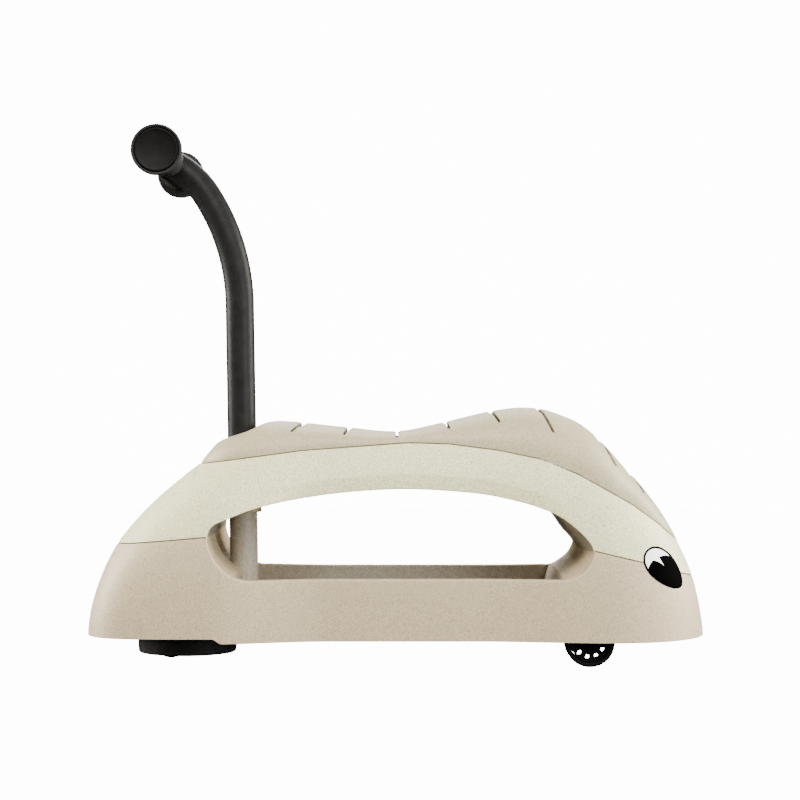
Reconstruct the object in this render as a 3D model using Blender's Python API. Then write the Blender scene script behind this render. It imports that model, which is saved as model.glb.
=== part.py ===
"""Ride-on walker: a moulded saddle body on two front wheels and a rear caster, with a T push handle.

Run it with Blender 4.5: blender --background --python part.py
Metres, +Z up, +X to the nose. The origin is on the floor, under the middle of the body.
"""

import math

import bmesh
import bpy
import numpy as np
from mathutils import Matrix, Vector

# Clearances and walls
GAP = 0.0003
WALL = 0.003
SEAT_WALL = 0.0055

# Cutters run this far past what they cut, and the thinnest slice that a solid may start with
PAST = 0.010
FAR = 0.200
THIN = 0.001

# Body plan: half widths at the skirt, and where they are reached
TAIL_X = -0.2945
NOSE_X = 0.300
REAR_X = -0.175
REAR_HALF = 0.121
WAIST_REAR_X = -0.065
WAIST_HALF = 0.096
WAIST_FRONT_X = 0.080
FRONT_X = 0.200
FRONT_HALF = 0.112
TAIL_POWER = 4.5
NOSE_POWER = 2.2
SHOULDER_POWER = 3.6

# Body side view: the hull's top line and the two seams, as (x, z)
CROWN_LINE = (
    (TAIL_X, 0.012), (-0.2940, 0.0395), (-0.2855, 0.0735), (-0.2670, 0.1136), (-0.2380, 0.1482),
    (-0.2095, 0.1734), (-0.1850, 0.1915), (-0.1200, 0.2200), (-0.0400, 0.2360), (0.0500, 0.2420),
    (0.1050, 0.2435), (0.1390, 0.2421), (0.1590, 0.2361), (0.1780, 0.2276), (0.1978, 0.2110),
    (0.2170, 0.1897), (0.2363, 0.1685), (0.2558, 0.1423), (0.2712, 0.1153), (0.2847, 0.0860),
    (0.2946, 0.0484), (NOSE_X, 0.012),
)
BASE_SEAM = ((-0.3000, 0.1105), (-0.1750, 0.1220), (0.1845, 0.1090), (0.2300, 0.0980), (0.3050, 0.0755))
SEAT_SEAM = (
    (-0.2100, 0.1860), (-0.1835, 0.1890), (-0.0900, 0.2015), (0.0110, 0.2090), (0.0500, 0.2080),
    (0.0970, 0.2020), (0.1360, 0.1940), (0.1710, 0.1800), (0.2210, 0.1520), (0.2450, 0.1350),
    (0.2780, 0.1080),
)
SEAT_TOP = (
    (-0.2000, 0.1757), (-0.1906, 0.1876), (-0.1813, 0.1994), (-0.1721, 0.2095), (-0.1628, 0.2137),
    (-0.1493, 0.2180), (-0.1408, 0.2213), (-0.1308, 0.2264), (-0.1223, 0.2289), (-0.1088, 0.2294),
    (-0.0480, 0.2234), (0.0010, 0.2195), (0.0430, 0.2274), (0.0890, 0.2384), (0.1196, 0.2427),
    (0.1390, 0.2421),
)
SEAT_EDGE_POWER = 2.8
ABOVE_SEAT = 0.2600
SADDLE_ROOM = 0.0006
SADDLE_TAPER = 0.12

# Skirt's lower edge: it steps up over the caster
SKIRT_Z = 0.0235
SKIRT_RISE = 0.0045
RISE_FRONT_X = -0.161
RISE_REAR_X = -0.1705

# Side opening right through the body, clockwise from its rear end, as (x, z)
SILL_Z = 0.0820
WINDOW = (
    (-0.1750, 0.1220), (-0.1720, 0.1310), (-0.1540, 0.1405), (-0.1250, 0.1510), (-0.0650, 0.1625),
    (0.0000, 0.1676), (0.0500, 0.1660), (0.0975, 0.1600), (0.1500, 0.1440), (0.1750, 0.1215),
    (0.1845, 0.1090), (0.1825, 0.1000), (0.1740, 0.0885), (0.1570, SILL_Z), (0.1480, SILL_Z),
    (-0.1290, SILL_Z), (-0.1380, SILL_Z), (-0.1530, 0.0865), (-0.1660, 0.0985), (-0.1730, 0.1110),
)

# Deck tray between the sills, the web that closes the hull at the same level, and the ledge for the deck plate
WEB_Z = 0.060
WEB = 0.003
RIM_WIDTH = 0.012
TRAY_REAR_X = -0.150
TRAY_FRONT_X = 0.152
TRAY_CORNER = 0.12
TRAY_SQUARENESS = 24
PLATE_REAR_X = -0.131
LEDGE = 0.005

# Grooves pressed across the saddle: (x, z) where each starts at the top and ends on the side
GROOVES = (
    ((-0.0914, 0.2274), (-0.0995, 0.2208)),
    ((-0.0465, 0.2225), (-0.0493, 0.2180)),
    ((0.0010, 0.2195), (0.0010, 0.2150)),
    ((0.0484, 0.2290), (0.0505, 0.2235)),
    ((0.0929, 0.2390), (0.0984, 0.2297)),
    ((0.1385, 0.2425), (0.1484, 0.2208)),
    ((0.1950, 0.2150), (0.2077, 0.1890)),
    ((0.2244, 0.1820), (0.2356, 0.1626)),
)
GROOVE_WIDTH = 0.0022
GROOVE_DEPTH = 0.0035
GROOVE_OVER = 0.012
GROOVE_FOOT_SHARE = 0.4
GROOVE_TOP_SHARE = 1.6

# Push handle
HANDLE_FOOT_X = -0.1497
HANDLE_FOOT_Z = 0.1503
HANDLE_LEAN = math.radians(0.97)
TUBE_RADIUS = 0.0135
TUBE_WALL = 0.0015
TUBE_STRAIGHT = 0.1935
BEND_RADIUS = 0.204
BEND_ANGLE = math.radians(32)
TOP_BEND_RADIUS = 0.084
TOP_BEND_ANGLE = math.radians(33)
CROSSBAR_RADIUS = 0.0137
GRIP_RADIUS = 0.0158
GRIP_START = 0.019
GRIP_END = 0.1185
GRIP_ROUND = 0.0015
FLANGE_RADIUS = 0.0238
FLANGE_THICK = 0.007
CAP_RADIUS = 0.0203
CAP_THICK = 0.0035
CAP_DISH = 0.0012
CAP_MIDDLE_DISH = 0.0014
PLUG_THICK = 0.0030
PLUG_DEPTH = 0.0090

# Handle post and socket
POST_RADIUS = 0.01375
POST_BORE = 0.0100
POST_TOP = 0.1400
POST_SEAT = 0.0015
POST_BACKING = 0.0150
SOCKET_FLANGE_RADIUS = 0.0180
SOCKET_FLANGE = 0.0045
SOCKET_RADIUS = 0.0168
SOCKET_TOP = 0.1980
BORE_GAP = 0.00045

# Front wheels and their axle
AXLE_X = 0.1817
WHEEL_RADIUS = 0.02335
AXLE_RADIUS = 0.004
WHEEL_INSET = 0.0110
WHEEL_FACE_Y = FRONT_HALF - WHEEL_INSET
WHEEL_WIDTH = 0.0220
TYRE_INNER_RADIUS = 0.0185
TYRE_ROUND = 0.0025
HUB_WEB = 0.0035
HUB_RECESS = 0.0020
HUB_BOSS_RADIUS = 0.0072
HUB_RIM = 0.0013
SLOT_COUNT = 10
SLOT_INNER_RADIUS = 0.0112
SLOT_OUTER_RADIUS = 0.0162
SLOT_WIDTH = 0.0042
SLOT_TURN = math.radians(-29)
BRACKET_THICK = 0.0080
SPACER_LENGTH = 0.0070
BRACKET_Y = WHEEL_FACE_Y - WHEEL_WIDTH - SPACER_LENGTH - BRACKET_THICK
BRACKET_HALF_LENGTH = 0.0150
CLAMP_THICK = 0.0030
CLAMP_SCREW_RADIUS = 0.0015
CLAMP_SCREW_LENGTH = 0.0090
AXLE_CAP_RADIUS = 0.0065
AXLE_CAP_THICK = 0.0030
AXLE_CAP_FACE = 0.0008

# Rear caster
CASTER_X = -0.2040
CASTER_TRAIL = 0.0140
CASTER_WHEEL_RADIUS = 0.0200
CASTER_WHEEL_WIDTH = 0.0180
CASTER_FORK = 0.0080
CASTER_FORK_REACH = 0.0085
CASTER_FORK_SPLAY = 1.6
CASTER_AXLE_RADIUS = 0.0030
HOOD_RADIUS = 0.0495
HOOD_FOOT_RADIUS = 0.0477
HOOD_WALL = 0.0030
HOOD_RIM_Z = 0.0040
HOOD_ROUND = 0.0030
HOOD_TOP_Z = 0.0455
HOOD_PLATE = 0.0035
HOOD_HUB_RADIUS = 0.0100
HOOD_HUB_TOP = 0.0535
PIN_RADIUS = 0.0050
PIN_FOOT_Z = 0.0445
PIN_END = 0.0025
PIN_GROOVE = 0.0008
BUSHING_RADIUS = 0.0078
BUSHING_FLANGE_RADIUS = 0.0130
BUSHING_FLANGE = 0.0020
CASTER_BOSS_RADIUS = 0.0150
CASTER_BOSS_TOP = 0.0700
CLIP_RADIUS = 0.0090
CLIP_THICK = 0.0015

# Screws: body screws go up from the base, seat screws up from the tunnel's ceiling
SCREW_RADIUS = 0.0020
SCREW_HEAD = 0.0025
SCREW_LENGTH = 0.0140
POST_WALL = 0.0030
COUNTERBORE = 0.0045
BODY_SCREWS = ((-0.2350, REAR_HALF - 0.0510), (0.2260, FRONT_HALF - 0.0160))
SEAT_SCREWS = ((-0.0850, WAIST_HALF - 0.0510), (0.0850, WAIST_HALF - 0.0510))
SEAT_POST_TOP = 0.1850

# Printed eyes: an egg across the base seam on each side of the nose, as (x, z)
EYE_CENTRE = (0.2545, 0.0925)
EYE_LENGTH = 0.0228
EYE_BREADTH = 0.0168
EYE_TURN = math.radians(-54)
EYE_TAPER = 0.22
EYE_THICK = 0.0006
EYE_GAP = 0.0008
EYE_STEPS = 16
EYE_RINGS = (0.35, 0.7, 1.0)

# Facets: sides of round pieces, and stations and points of the hull's sections
ROUND = 20
WHEEL_STEPS = 20
CASTER_STEPS = 18
HOLE_STEPS = 8
SMALL_STEPS = 10
HOOD_STEPS = 24
TUBE_STEPS = 16
BEND_STEPS = 4
GRIP_STEPS = 18
SECTIONS = 24
INNER_SECTIONS = 16
SADDLE_SECTIONS = 20
FLOOR_SECTIONS = 12
KNOT_CLEAR = 0.004
SIDE_POINTS = 5
INNER_SIDE_POINTS = 3
HOLLOW_SIDE_POINTS = 4
WINDOW_STEPS = 2
TRAY_SECTIONS = 9

SHELL_TAN = (0.565, 0.497, 0.402)
SHELL_CREAM = (0.700, 0.680, 0.575)
SHELL_SAND = (0.620, 0.545, 0.460)
BLACK_PLASTIC = (0.010, 0.009, 0.009)
BLACK_RUBBER = (0.035, 0.034, 0.034)
BLACK_STEEL = (0.028, 0.028, 0.029)
BARE_STEEL = (0.55, 0.55, 0.54)
NYLON_WHITE = (0.78, 0.77, 0.73)
EYE_BLACK = (0.004, 0.004, 0.004)


def clear_scene():
    for obj in list(bpy.data.objects):
        bpy.data.objects.remove(obj, do_unlink=True)


def material(name, colour, roughness, metallic=0.0):
    """A Principled material, made once for each name."""
    if name in bpy.data.materials:
        return bpy.data.materials[name]
    made = bpy.data.materials.new(name)
    made.use_nodes = True
    shader = made.node_tree.nodes["Principled BSDF"]
    shader.inputs["Base Color"].default_value = (*colour, 1.0)
    shader.inputs["Roughness"].default_value = roughness
    shader.inputs["Metallic"].default_value = metallic
    return made


def mesh_object(name, points, faces, finish=None):
    """An object with outward faces from points and faces."""
    mesh = bpy.data.meshes.new(name)
    mesh.from_pydata([tuple(p) for p in points], [], faces)
    shape = bmesh.new()
    shape.from_mesh(mesh)
    bmesh.ops.remove_doubles(shape, verts=shape.verts, dist=1e-6)
    bmesh.ops.recalc_face_normals(shape, faces=shape.faces)
    shape.to_mesh(mesh)
    shape.free()
    mesh.set_sharp_from_angle(angle=math.radians(35))
    obj = bpy.data.objects.new(name, mesh)
    bpy.context.scene.collection.objects.link(obj)
    if finish:
        obj.data.materials.append(finish)
    return obj


def as_tool(obj):
    """Marks an object as a cutter, which the render leaves out."""
    obj.hide_render = True
    obj.display_type = "WIRE"
    return obj


def combine(obj, tool, operation):
    modifier = obj.modifiers.new(tool.name, "BOOLEAN")
    modifier.operation = operation
    modifier.solver = "EXACT"
    modifier.object = as_tool(tool)


def cut(obj, *tools):
    for tool in tools:
        combine(obj, tool, "DIFFERENCE")


def join(obj, *tools):
    for tool in tools:
        combine(obj, tool, "UNION")


def loft(name, loops, finish=None):
    """A closed solid of triangles through loops of points, all of one count, with flat ends."""
    rows, around = len(loops), len(loops[0])
    points = np.concatenate(loops)
    faces = [
        (r * around + c, r * around + (c + 1) % around, (r + 1) * around + (c + 1) % around, (r + 1) * around + c)
        for r in range(rows - 1)
        for c in range(around)
    ]
    faces.append(tuple(range(around)))
    faces.append(tuple(range((rows - 1) * around, rows * around)))
    obj = mesh_object(name, points, faces, finish)
    shape = bmesh.new()
    shape.from_mesh(obj.data)
    bmesh.ops.triangulate(shape, faces=shape.faces)
    shape.to_mesh(obj.data)
    shape.free()
    return obj


def turned(name, profile, finish=None, steps=ROUND):
    """A ring or rod turned about Z from (radius, height) points, a closed outline or one that meets the axis."""
    shape = bmesh.new()
    rows = [shape.verts.new((radius, 0.0, height)) for radius, height in profile]
    edges = [shape.edges.new(pair) for pair in zip(rows, rows[1:])]
    if profile[0][0] > 0 and profile[-1][0] > 0:
        edges.append(shape.edges.new((rows[-1], rows[0])))
    bmesh.ops.spin(shape, geom=rows + edges, cent=(0, 0, 0), axis=(0, 0, 1), angle=2 * math.pi, steps=steps)
    bmesh.ops.remove_doubles(shape, verts=shape.verts, dist=1e-6)
    bmesh.ops.recalc_face_normals(shape, faces=shape.faces)
    mesh = bpy.data.meshes.new(name)
    shape.to_mesh(mesh)
    shape.free()
    mesh.shade_smooth()
    mesh.set_sharp_from_angle(angle=math.radians(35))
    obj = bpy.data.objects.new(name, mesh)
    bpy.context.scene.collection.objects.link(obj)
    if finish:
        obj.data.materials.append(finish)
    return obj


def rod(name, radius, low, high, finish=None, steps=ROUND):
    """A round bar along Z between two heights."""
    shape = bmesh.new()
    bmesh.ops.create_cone(
        shape, cap_ends=True, segments=steps, radius1=radius, radius2=radius, depth=high - low,
        matrix=Matrix.Translation((0, 0, (low + high) / 2)),
    )
    mesh = bpy.data.meshes.new(name)
    shape.to_mesh(mesh)
    shape.free()
    mesh.shade_smooth()
    mesh.set_sharp_from_angle(angle=math.radians(35))
    obj = bpy.data.objects.new(name, mesh)
    bpy.context.scene.collection.objects.link(obj)
    if finish:
        obj.data.materials.append(finish)
    return obj


def block(name, low, high, finish=None):
    """A box between two corners."""
    shape = bmesh.new()
    bmesh.ops.create_cube(shape, size=1.0)
    size = Vector(high) - Vector(low)
    middle = (Vector(high) + Vector(low)) / 2
    bmesh.ops.transform(shape, matrix=Matrix.Translation(middle) @ Matrix.Diagonal((*size, 1)), verts=shape.verts)
    mesh = bpy.data.meshes.new(name)
    shape.to_mesh(mesh)
    shape.free()
    obj = bpy.data.objects.new(name, mesh)
    bpy.context.scene.collection.objects.link(obj)
    if finish:
        obj.data.materials.append(finish)
    return obj


def place(obj, where, turn=None, parent=None):
    """Puts an object at a point of the model, turned by a matrix, with an empty as its parent if it has one."""
    matrix = Matrix.Translation(where) @ (turn or Matrix.Identity(4))
    if parent:
        obj.parent = parent
        matrix = parent.matrix_basis.inverted() @ matrix
    obj.matrix_basis = matrix
    return obj


def empty(name, where):
    obj = bpy.data.objects.new(name, None)
    bpy.context.scene.collection.objects.link(obj)
    obj.location = where
    bpy.context.view_layer.update()
    return obj


def curve_through(points, closed=False, between=8):
    """Points on a smooth curve through the given ones, by Catmull-Rom with steps that suit uneven spans."""
    knots = np.array(points, float)
    ends = (knots[-1:], knots[:2]) if closed else (2 * knots[:1] - knots[1:2], 2 * knots[-1:] - knots[-2:-1])
    knots = np.concatenate((ends[0], knots, ends[1]))
    t = np.linspace(0, 1, between, endpoint=False)[:, None]
    pieces = []
    for a, b, c, d in zip(knots, knots[1:], knots[2:], knots[3:]):
        before, here, after = (np.linalg.norm(span) ** 0.5 for span in (b - a, c - b, d - c))
        leave = (c - b) + here * ((b - a) / before - (c - a) / (before + here))
        arrive = (c - b) + here * ((d - c) / after - (d - b) / (here + after))
        pieces.append(b + leave * t + (3 * (c - b) - 2 * leave - arrive) * t**2 + (2 * (b - c) + leave + arrive) * t**3)
    if not closed:
        pieces.append(knots[-2:-1])
    return np.concatenate(pieces)


def height_on(points, x):
    """Height of the smooth line through (x, z) points."""
    line = curve_through(points)
    return np.interp(x, line[:, 0], line[:, 1])


def blend(x, start, end):
    """0 at start, 1 at end, smooth between."""
    t = np.clip((x - start) / (end - start), 0, 1)
    return t * t * (3 - 2 * t)


def knots_of(line):
    return [x for x, _ in line]


def half_width(x, inset=0.0):
    """Half the body's width at the skirt, less an inset."""
    swell = WAIST_HALF + (REAR_HALF - WAIST_HALF) * blend(x, WAIST_REAR_X, REAR_X)
    swell = swell + (FRONT_HALF - WAIST_HALF) * blend(x, WAIST_FRONT_X, FRONT_X)
    tail = np.clip((REAR_X - x) / (REAR_X - TAIL_X - inset), 0, 1)
    nose = np.clip((x - FRONT_X) / (NOSE_X - inset - FRONT_X), 0, 1)
    ends = (1 - tail**TAIL_POWER) ** (1 / TAIL_POWER) * (1 - nose**NOSE_POWER) ** (1 / NOSE_POWER)
    return (swell - inset) * ends


def crown(x, inset=0.0):
    """Height of the hull's top line, less an inset, with its two ends drawn in by the inset."""
    middle = (TAIL_X + NOSE_X) / 2
    stretched = middle + (x - middle) * (NOSE_X - TAIL_X) / (NOSE_X - TAIL_X - 2 * inset)
    return height_on(CROWN_LINE, stretched) - inset


def skirt(x):
    return SKIRT_Z + SKIRT_RISE * blend(x, RISE_FRONT_X, RISE_REAR_X)


def base_seam(x):
    return np.interp(x, *np.array(BASE_SEAM).T)


def seat_seam(x):
    return np.interp(x, *np.array(SEAT_SEAM).T)


def seat_top(x):
    return np.where(x < SEAT_TOP[-1][0], height_on(SEAT_TOP, x), crown(x))


def skin_y(x, z):
    """Half the body's width at one station and height."""
    share = np.clip(z / crown(x), 0, 1)
    return half_width(x) * (1 - share**SHOULDER_POWER) ** (1 / SHOULDER_POWER)


def hull_loop(x, low, high, inset, drop, points):
    """One cross section of the hull between two heights: up one side and down the other."""
    width, top = half_width(x, inset), crown(x, inset)
    first, last = (math.asin(min(max(h, THIN) / top, 1.0) ** (SHOULDER_POWER / 2)) for h in (low, high))
    angle = np.linspace(first, last, points)
    y = width * np.cos(angle) ** (2 / SHOULDER_POWER)
    z = top * np.sin(angle) ** (2 / SHOULDER_POWER)
    if drop:
        y, z = np.append(y[0], y), np.append(z[0] - drop, z)
    y, z = np.concatenate((y, -y[::-1])), np.concatenate((z, z[::-1]))
    return np.stack((np.full(len(y), x), y, z), axis=1)


def stations(start, end, count, knots=()):
    """Places along the body, closer together near the two ends, which keep clear of the knots that they include."""
    even = start + (end - start) * (1 - np.cos(np.linspace(0, math.pi, count))) / 2
    kept = np.array([x for x in knots if start + KNOT_CLEAR < x < end - KNOT_CLEAR])
    free = [x for x in even if len(kept) == 0 or np.abs(kept - x).min() > KNOT_CLEAR]
    return np.unique(np.round(np.concatenate((free, kept)), 6))


def hull_solid(name, low, high, inset=0.0, drop=0.0, reach=None, knots=(), points=INNER_SIDE_POINTS, finish=None):
    """The hull's solid between two heights, each a number or a function of x."""
    low_at = low if callable(low) else lambda x: low
    high_at = high if callable(high) else lambda x: high
    start, end = reach or (TAIL_X + inset, NOSE_X - inset)
    fine = np.linspace(start, end, 1200)
    room = crown(fine, inset) - np.array([low_at(x) for x in fine])
    inside = fine[(room > THIN + THIN / 2) & (half_width(fine, inset) > 4 * THIN)]
    count = INNER_SECTIONS if inset else SECTIONS
    count = max(6, round(count * (inside[-1] - inside[0]) / (NOSE_X - TAIL_X)))
    places = stations(inside[0], inside[-1], count, knots)
    loops = [hull_loop(x, low_at(x), max(high_at(x), low_at(x) + THIN), inset, drop, points) for x in places]
    return loft(name, loops, finish)


def prism(name, outline, half):
    """An outline in the XZ plane carried across the body."""
    flat = np.array(outline)
    loops = [np.stack((flat[:, 0], np.full(len(flat), y), flat[:, 1]), axis=1) for y in (-half, half)]
    return loft(name, loops)


def window_outline(grow=0.0):
    """The side opening's outline, moved outward by grow."""
    line = curve_through(WINDOW, closed=True, between=WINDOW_STEPS)
    along = np.roll(line, -1, axis=0) - np.roll(line, 1, axis=0)
    outward = np.stack((-along[:, 1], along[:, 0]), axis=1) / np.linalg.norm(along, axis=1)[:, None]
    return line + outward * grow


def tray_solid(name, low, high, grow=0.0, rear=TRAY_REAR_X):
    """The deck tray between the sills, with square ends and rounded corners."""
    start, end = rear - grow, TRAY_FRONT_X + grow
    loops = []
    for x in stations(start, end, TRAY_SECTIONS):
        share = abs(2 * (x - start) / (end - start) - 1)
        half = (half_width(x) - RIM_WIDTH + grow) * (1 - TRAY_CORNER * share**TRAY_SQUARENESS)
        loops.append(np.array([(x, half, low), (x, half, high), (x, -half, high), (x, -half, low)]))
    return loft(name, loops)


def leaned(height):
    """A point on the handle's straight axis, by its height."""
    reach = height - HANDLE_FOOT_Z
    return Vector((HANDLE_FOOT_X - math.tan(HANDLE_LEAN) * reach, 0, height))


def lean_turn():
    return Matrix.Rotation(-HANDLE_LEAN, 4, "Y")


def leaned_rod(name, radius, low, high, steps=ROUND):
    length = (high - low) / math.cos(HANDLE_LEAN)
    return place(rod(name, radius, 0, length, steps=steps), leaned(low), lean_turn())


def mirrored(pairs):
    return [(x, side * y) for x, y in pairs for side in (1, -1)]


def upright(name, x, y, radius, low, high, steps=HOLE_STEPS):
    return place(rod(name, radius, low, high, steps=steps), (x, y, 0))


def base_shell():
    """Lower moulding: skirt, sills, tray with a ledge for the deck plate, caster boss and axle brackets."""
    tan = material("shell_tan", SHELL_TAN, 0.62)
    knots = knots_of(BASE_SEAM) + [RISE_REAR_X, (RISE_REAR_X + RISE_FRONT_X) / 2]
    shell = hull_solid("base_shell", skirt, base_seam, knots=knots, points=SIDE_POINTS, finish=tan)
    cut(shell, base_under(), base_sill(), base_tower(), prism("window_low", window_outline(), FAR))
    cut(shell, tray_solid("tray", WEB_Z, WEB_Z + 5 * PAST))
    cut(shell, tray_solid("plate_opening", WEB_Z - WEB, WEB_Z + PAST, rear=PLATE_REAR_X))
    cut(shell, leaned_rod("post_seat", POST_RADIUS + GAP, WEB_Z - POST_SEAT, POST_TOP))
    boss_top = CASTER_BOSS_TOP + PAST
    cut(shell, upright("caster_bore", CASTER_X, 0, BUSHING_RADIUS + GAP, WEB_Z - 2 * PAST, boss_top, ROUND))
    for side in (1, -1):
        join(shell, axle_bracket(side))
    for number, (x, y) in enumerate(mirrored(BODY_SCREWS)):
        top = float(base_seam(x)) - POST_WALL
        cut(shell, upright(f"base_counterbore_{number}", x, y, COUNTERBORE, 0.0, top))
        cut(shell, upright(f"base_screw_hole_{number}", x, y, SCREW_RADIUS + GAP, top - PAST, top + 2 * PAST))
    return shell


def base_under():
    """The space under the web, less the caster's boss and the ledge that the deck plate rests on."""
    under = hull_solid("base_under", THIN, WEB_Z - WEB, inset=WALL, drop=2 * PAST)
    boss_low = HOOD_HUB_TOP + BUSHING_FLANGE + 2 * GAP
    cut(under, upright("caster_boss", CASTER_X, 0, CASTER_BOSS_RADIUS, boss_low, WEB_Z + PAST, ROUND))
    ledge = tray_solid("deck_ledge", WEB_Z - 2 * WEB, WEB_Z, grow=WALL, rear=PLATE_REAR_X)
    cut(ledge, tray_solid("deck_ledge_opening", WEB_Z - WEB - PAST, WEB_Z + PAST, grow=-LEDGE, rear=PLATE_REAR_X))
    cut(under, ledge)
    return under


def base_sill():
    """The space inside the two sills."""
    reach = (TRAY_REAR_X, TRAY_FRONT_X)
    sill = hull_solid("base_sill", WEB_Z - 2 * WEB, SILL_Z - WALL, inset=WALL, reach=reach)
    cut(sill, tray_solid("tray_liner", WEB_Z - PAST, WEB_Z + 5 * PAST, grow=WALL))
    return sill


def base_tower():
    """The space over the web in the tail and the nose, less the tunnel's walls, screw posts and caster boss."""
    tower = hull_solid("base_tower", WEB_Z, lambda x: base_seam(x) + PAST, inset=WALL)
    cut(tower, prism("tunnel_liner_low", window_outline(WALL), FAR))
    low = (TRAY_REAR_X - POST_BACKING, -FAR, WEB_Z - PAST)
    high = (TRAY_FRONT_X + 2 * WALL, FAR, SILL_Z + 3 * PAST)
    cut(tower, block("tower_gap", low, high))
    for number, (x, y) in enumerate(mirrored(BODY_SCREWS)):
        cut(tower, upright(f"base_post_{number}", x, y, COUNTERBORE + POST_WALL, WEB_Z - PAST, FAR))
    boss = upright("caster_boss_high", CASTER_X, 0, CASTER_BOSS_RADIUS - WALL, WEB_Z - PAST, CASTER_BOSS_TOP)
    cut(tower, boss)
    return tower


def deck_plate():
    """The tray's floor: a plate that snaps in on the ledge between the sills, with its top at the web's level."""
    plate = tray_solid("deck_plate", WEB_Z - WEB + GAP, WEB_Z, grow=-GAP, rear=PLATE_REAR_X)
    plate.data.materials.append(material("shell_tan", SHELL_TAN, 0.62))
    return plate


def handle_post():
    """Hollow column that stands in a shallow seat in the web and carries the socket."""
    low, high = WEB_Z - POST_SEAT + GAP, POST_TOP
    length = (high - low) / math.cos(HANDLE_LEAN)
    profile = ((POST_BORE, 0), (POST_RADIUS, 0), (POST_RADIUS, length), (POST_BORE, length))
    column = turned("handle_post", profile, material("shell_tan", SHELL_TAN, 0.62))
    return place(column, leaned(low), lean_turn())


def side_name(side):
    return "left" if side > 0 else "right"


def axle_bracket(side):
    """A rib under the web with an open slot that takes the front axle, and two holes for the clamp's screws."""
    name = side_name(side)
    low_y, high_y = sorted((side * BRACKET_Y, side * (BRACKET_Y + BRACKET_THICK)))
    foot = WHEEL_RADIUS - AXLE_RADIUS - GAP
    rib = block(
        f"axle_rib_{name}",
        (AXLE_X - BRACKET_HALF_LENGTH, low_y, foot),
        (AXLE_X + BRACKET_HALF_LENGTH, high_y, WEB_Z - WEB / 2),
    )
    slot = AXLE_RADIUS + GAP
    groove = block(
        f"axle_slot_{name}",
        (AXLE_X - slot, low_y - THIN, foot - THIN),
        (AXLE_X + slot, high_y + THIN, WHEEL_RADIUS),
    )
    saddle = place(rod(f"axle_seat_{name}", slot, -FAR, FAR, steps=SMALL_STEPS), (AXLE_X, 0, WHEEL_RADIUS), across())
    cut(rib, groove, saddle)
    for number, x in enumerate(clamp_screw_places()):
        middle = side * (BRACKET_Y + BRACKET_THICK / 2)
        hole = upright(f"clamp_hole_{name}_{number}", x, middle, CLAMP_SCREW_RADIUS + GAP, 0.0, foot + PAST)
        cut(rib, hole)
    return rib


def clamp_screw_places():
    offset = (AXLE_RADIUS + BRACKET_HALF_LENGTH) / 2
    return (AXLE_X - offset, AXLE_X + offset)


def across():
    """Turns Z to point along Y."""
    return Matrix.Rotation(math.radians(-90), 4, "X")


def arch_shell():
    """Middle moulding: both flanks above the seam and the tunnel's ceiling, open at the top."""
    cream = material("shell_cream", SHELL_CREAM, 0.60)
    floor, knots = (lambda x: base_seam(x) + GAP), knots_of(BASE_SEAM) + knots_of(SEAT_SEAM)
    shell = hull_solid("arch_shell", floor, seat_seam, knots=knots, points=SIDE_POINTS, finish=cream)
    low, high = (lambda x: base_seam(x) - PAST), (lambda x: seat_seam(x) + 1.5 * PAST)
    hollow = hull_solid("arch_hollow", low, high, inset=WALL, points=HOLLOW_SIDE_POINTS)
    cut(hollow, prism("tunnel_liner_high", window_outline(WALL), FAR))
    for number, (x, y) in enumerate(mirrored(BODY_SCREWS)):
        cut(hollow, upright(f"arch_post_{number}", x, y, SCREW_RADIUS + POST_WALL, WEB_Z, ABOVE_SEAT))
    for number, (x, y) in enumerate(mirrored(SEAT_SCREWS)):
        cut(hollow, upright(f"ceiling_post_{number}", x, y, COUNTERBORE + POST_WALL, POST_TOP, SEAT_POST_TOP))
    flange_top = POST_TOP + SOCKET_FLANGE + 2 * GAP
    cut(hollow, leaned_rod("socket_boss", SOCKET_FLANGE_RADIUS + WALL, POST_TOP - 2 * PAST, flange_top + WALL))
    cut(shell, hollow, prism("window_high", window_outline(), FAR))
    for number, (x, y) in enumerate(mirrored(BODY_SCREWS)):
        pilot_top = float(base_seam(x)) + SCREW_LENGTH
        cut(shell, upright(f"arch_pilot_{number}", x, y, SCREW_RADIUS + GAP, WEB_Z, pilot_top))
    for number, (x, y) in enumerate(mirrored(SEAT_SCREWS)):
        top = SEAT_POST_TOP - POST_WALL
        cut(shell, upright(f"ceiling_counterbore_{number}", x, y, COUNTERBORE, POST_TOP - 2 * PAST, top))
        cut(shell, upright(f"ceiling_screw_hole_{number}", x, y, SCREW_RADIUS + GAP, top - PAST, top + PAST))
    cut(shell, leaned_rod("socket_hole", SOCKET_RADIUS + GAP, POST_TOP - PAST, SOCKET_TOP + PAST))
    cut(shell, leaned_rod("flange_pocket", SOCKET_FLANGE_RADIUS + GAP, POST_TOP - 2 * PAST, flange_top))
    return shell


def seat_loop(x, inset=0.0, drop=0.0):
    """One cross section of the saddle: an arc from seam to seam with rounded edges."""
    low = float(seat_seam(x)) + (0.0 if inset else GAP)
    half = float(skin_y(x, low)) - inset
    rise = float(seat_top(x)) - inset - low
    angle = np.linspace(0, math.pi / 2, HOLLOW_SIDE_POINTS + 1 if inset else SIDE_POINTS + 1)
    y = half * np.cos(angle) ** (2 / SEAT_EDGE_POWER)
    z = low + rise * np.sin(angle) ** (2 / SEAT_EDGE_POWER)
    if drop:
        y, z = np.append(y[0], y), np.append(low - drop, z)
    y[-1] = 0.0
    y, z = np.concatenate((y, -y[-2::-1])), np.concatenate((z, z[-2::-1]))
    return np.stack((np.full(len(y), x), y, z), axis=1)


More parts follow.
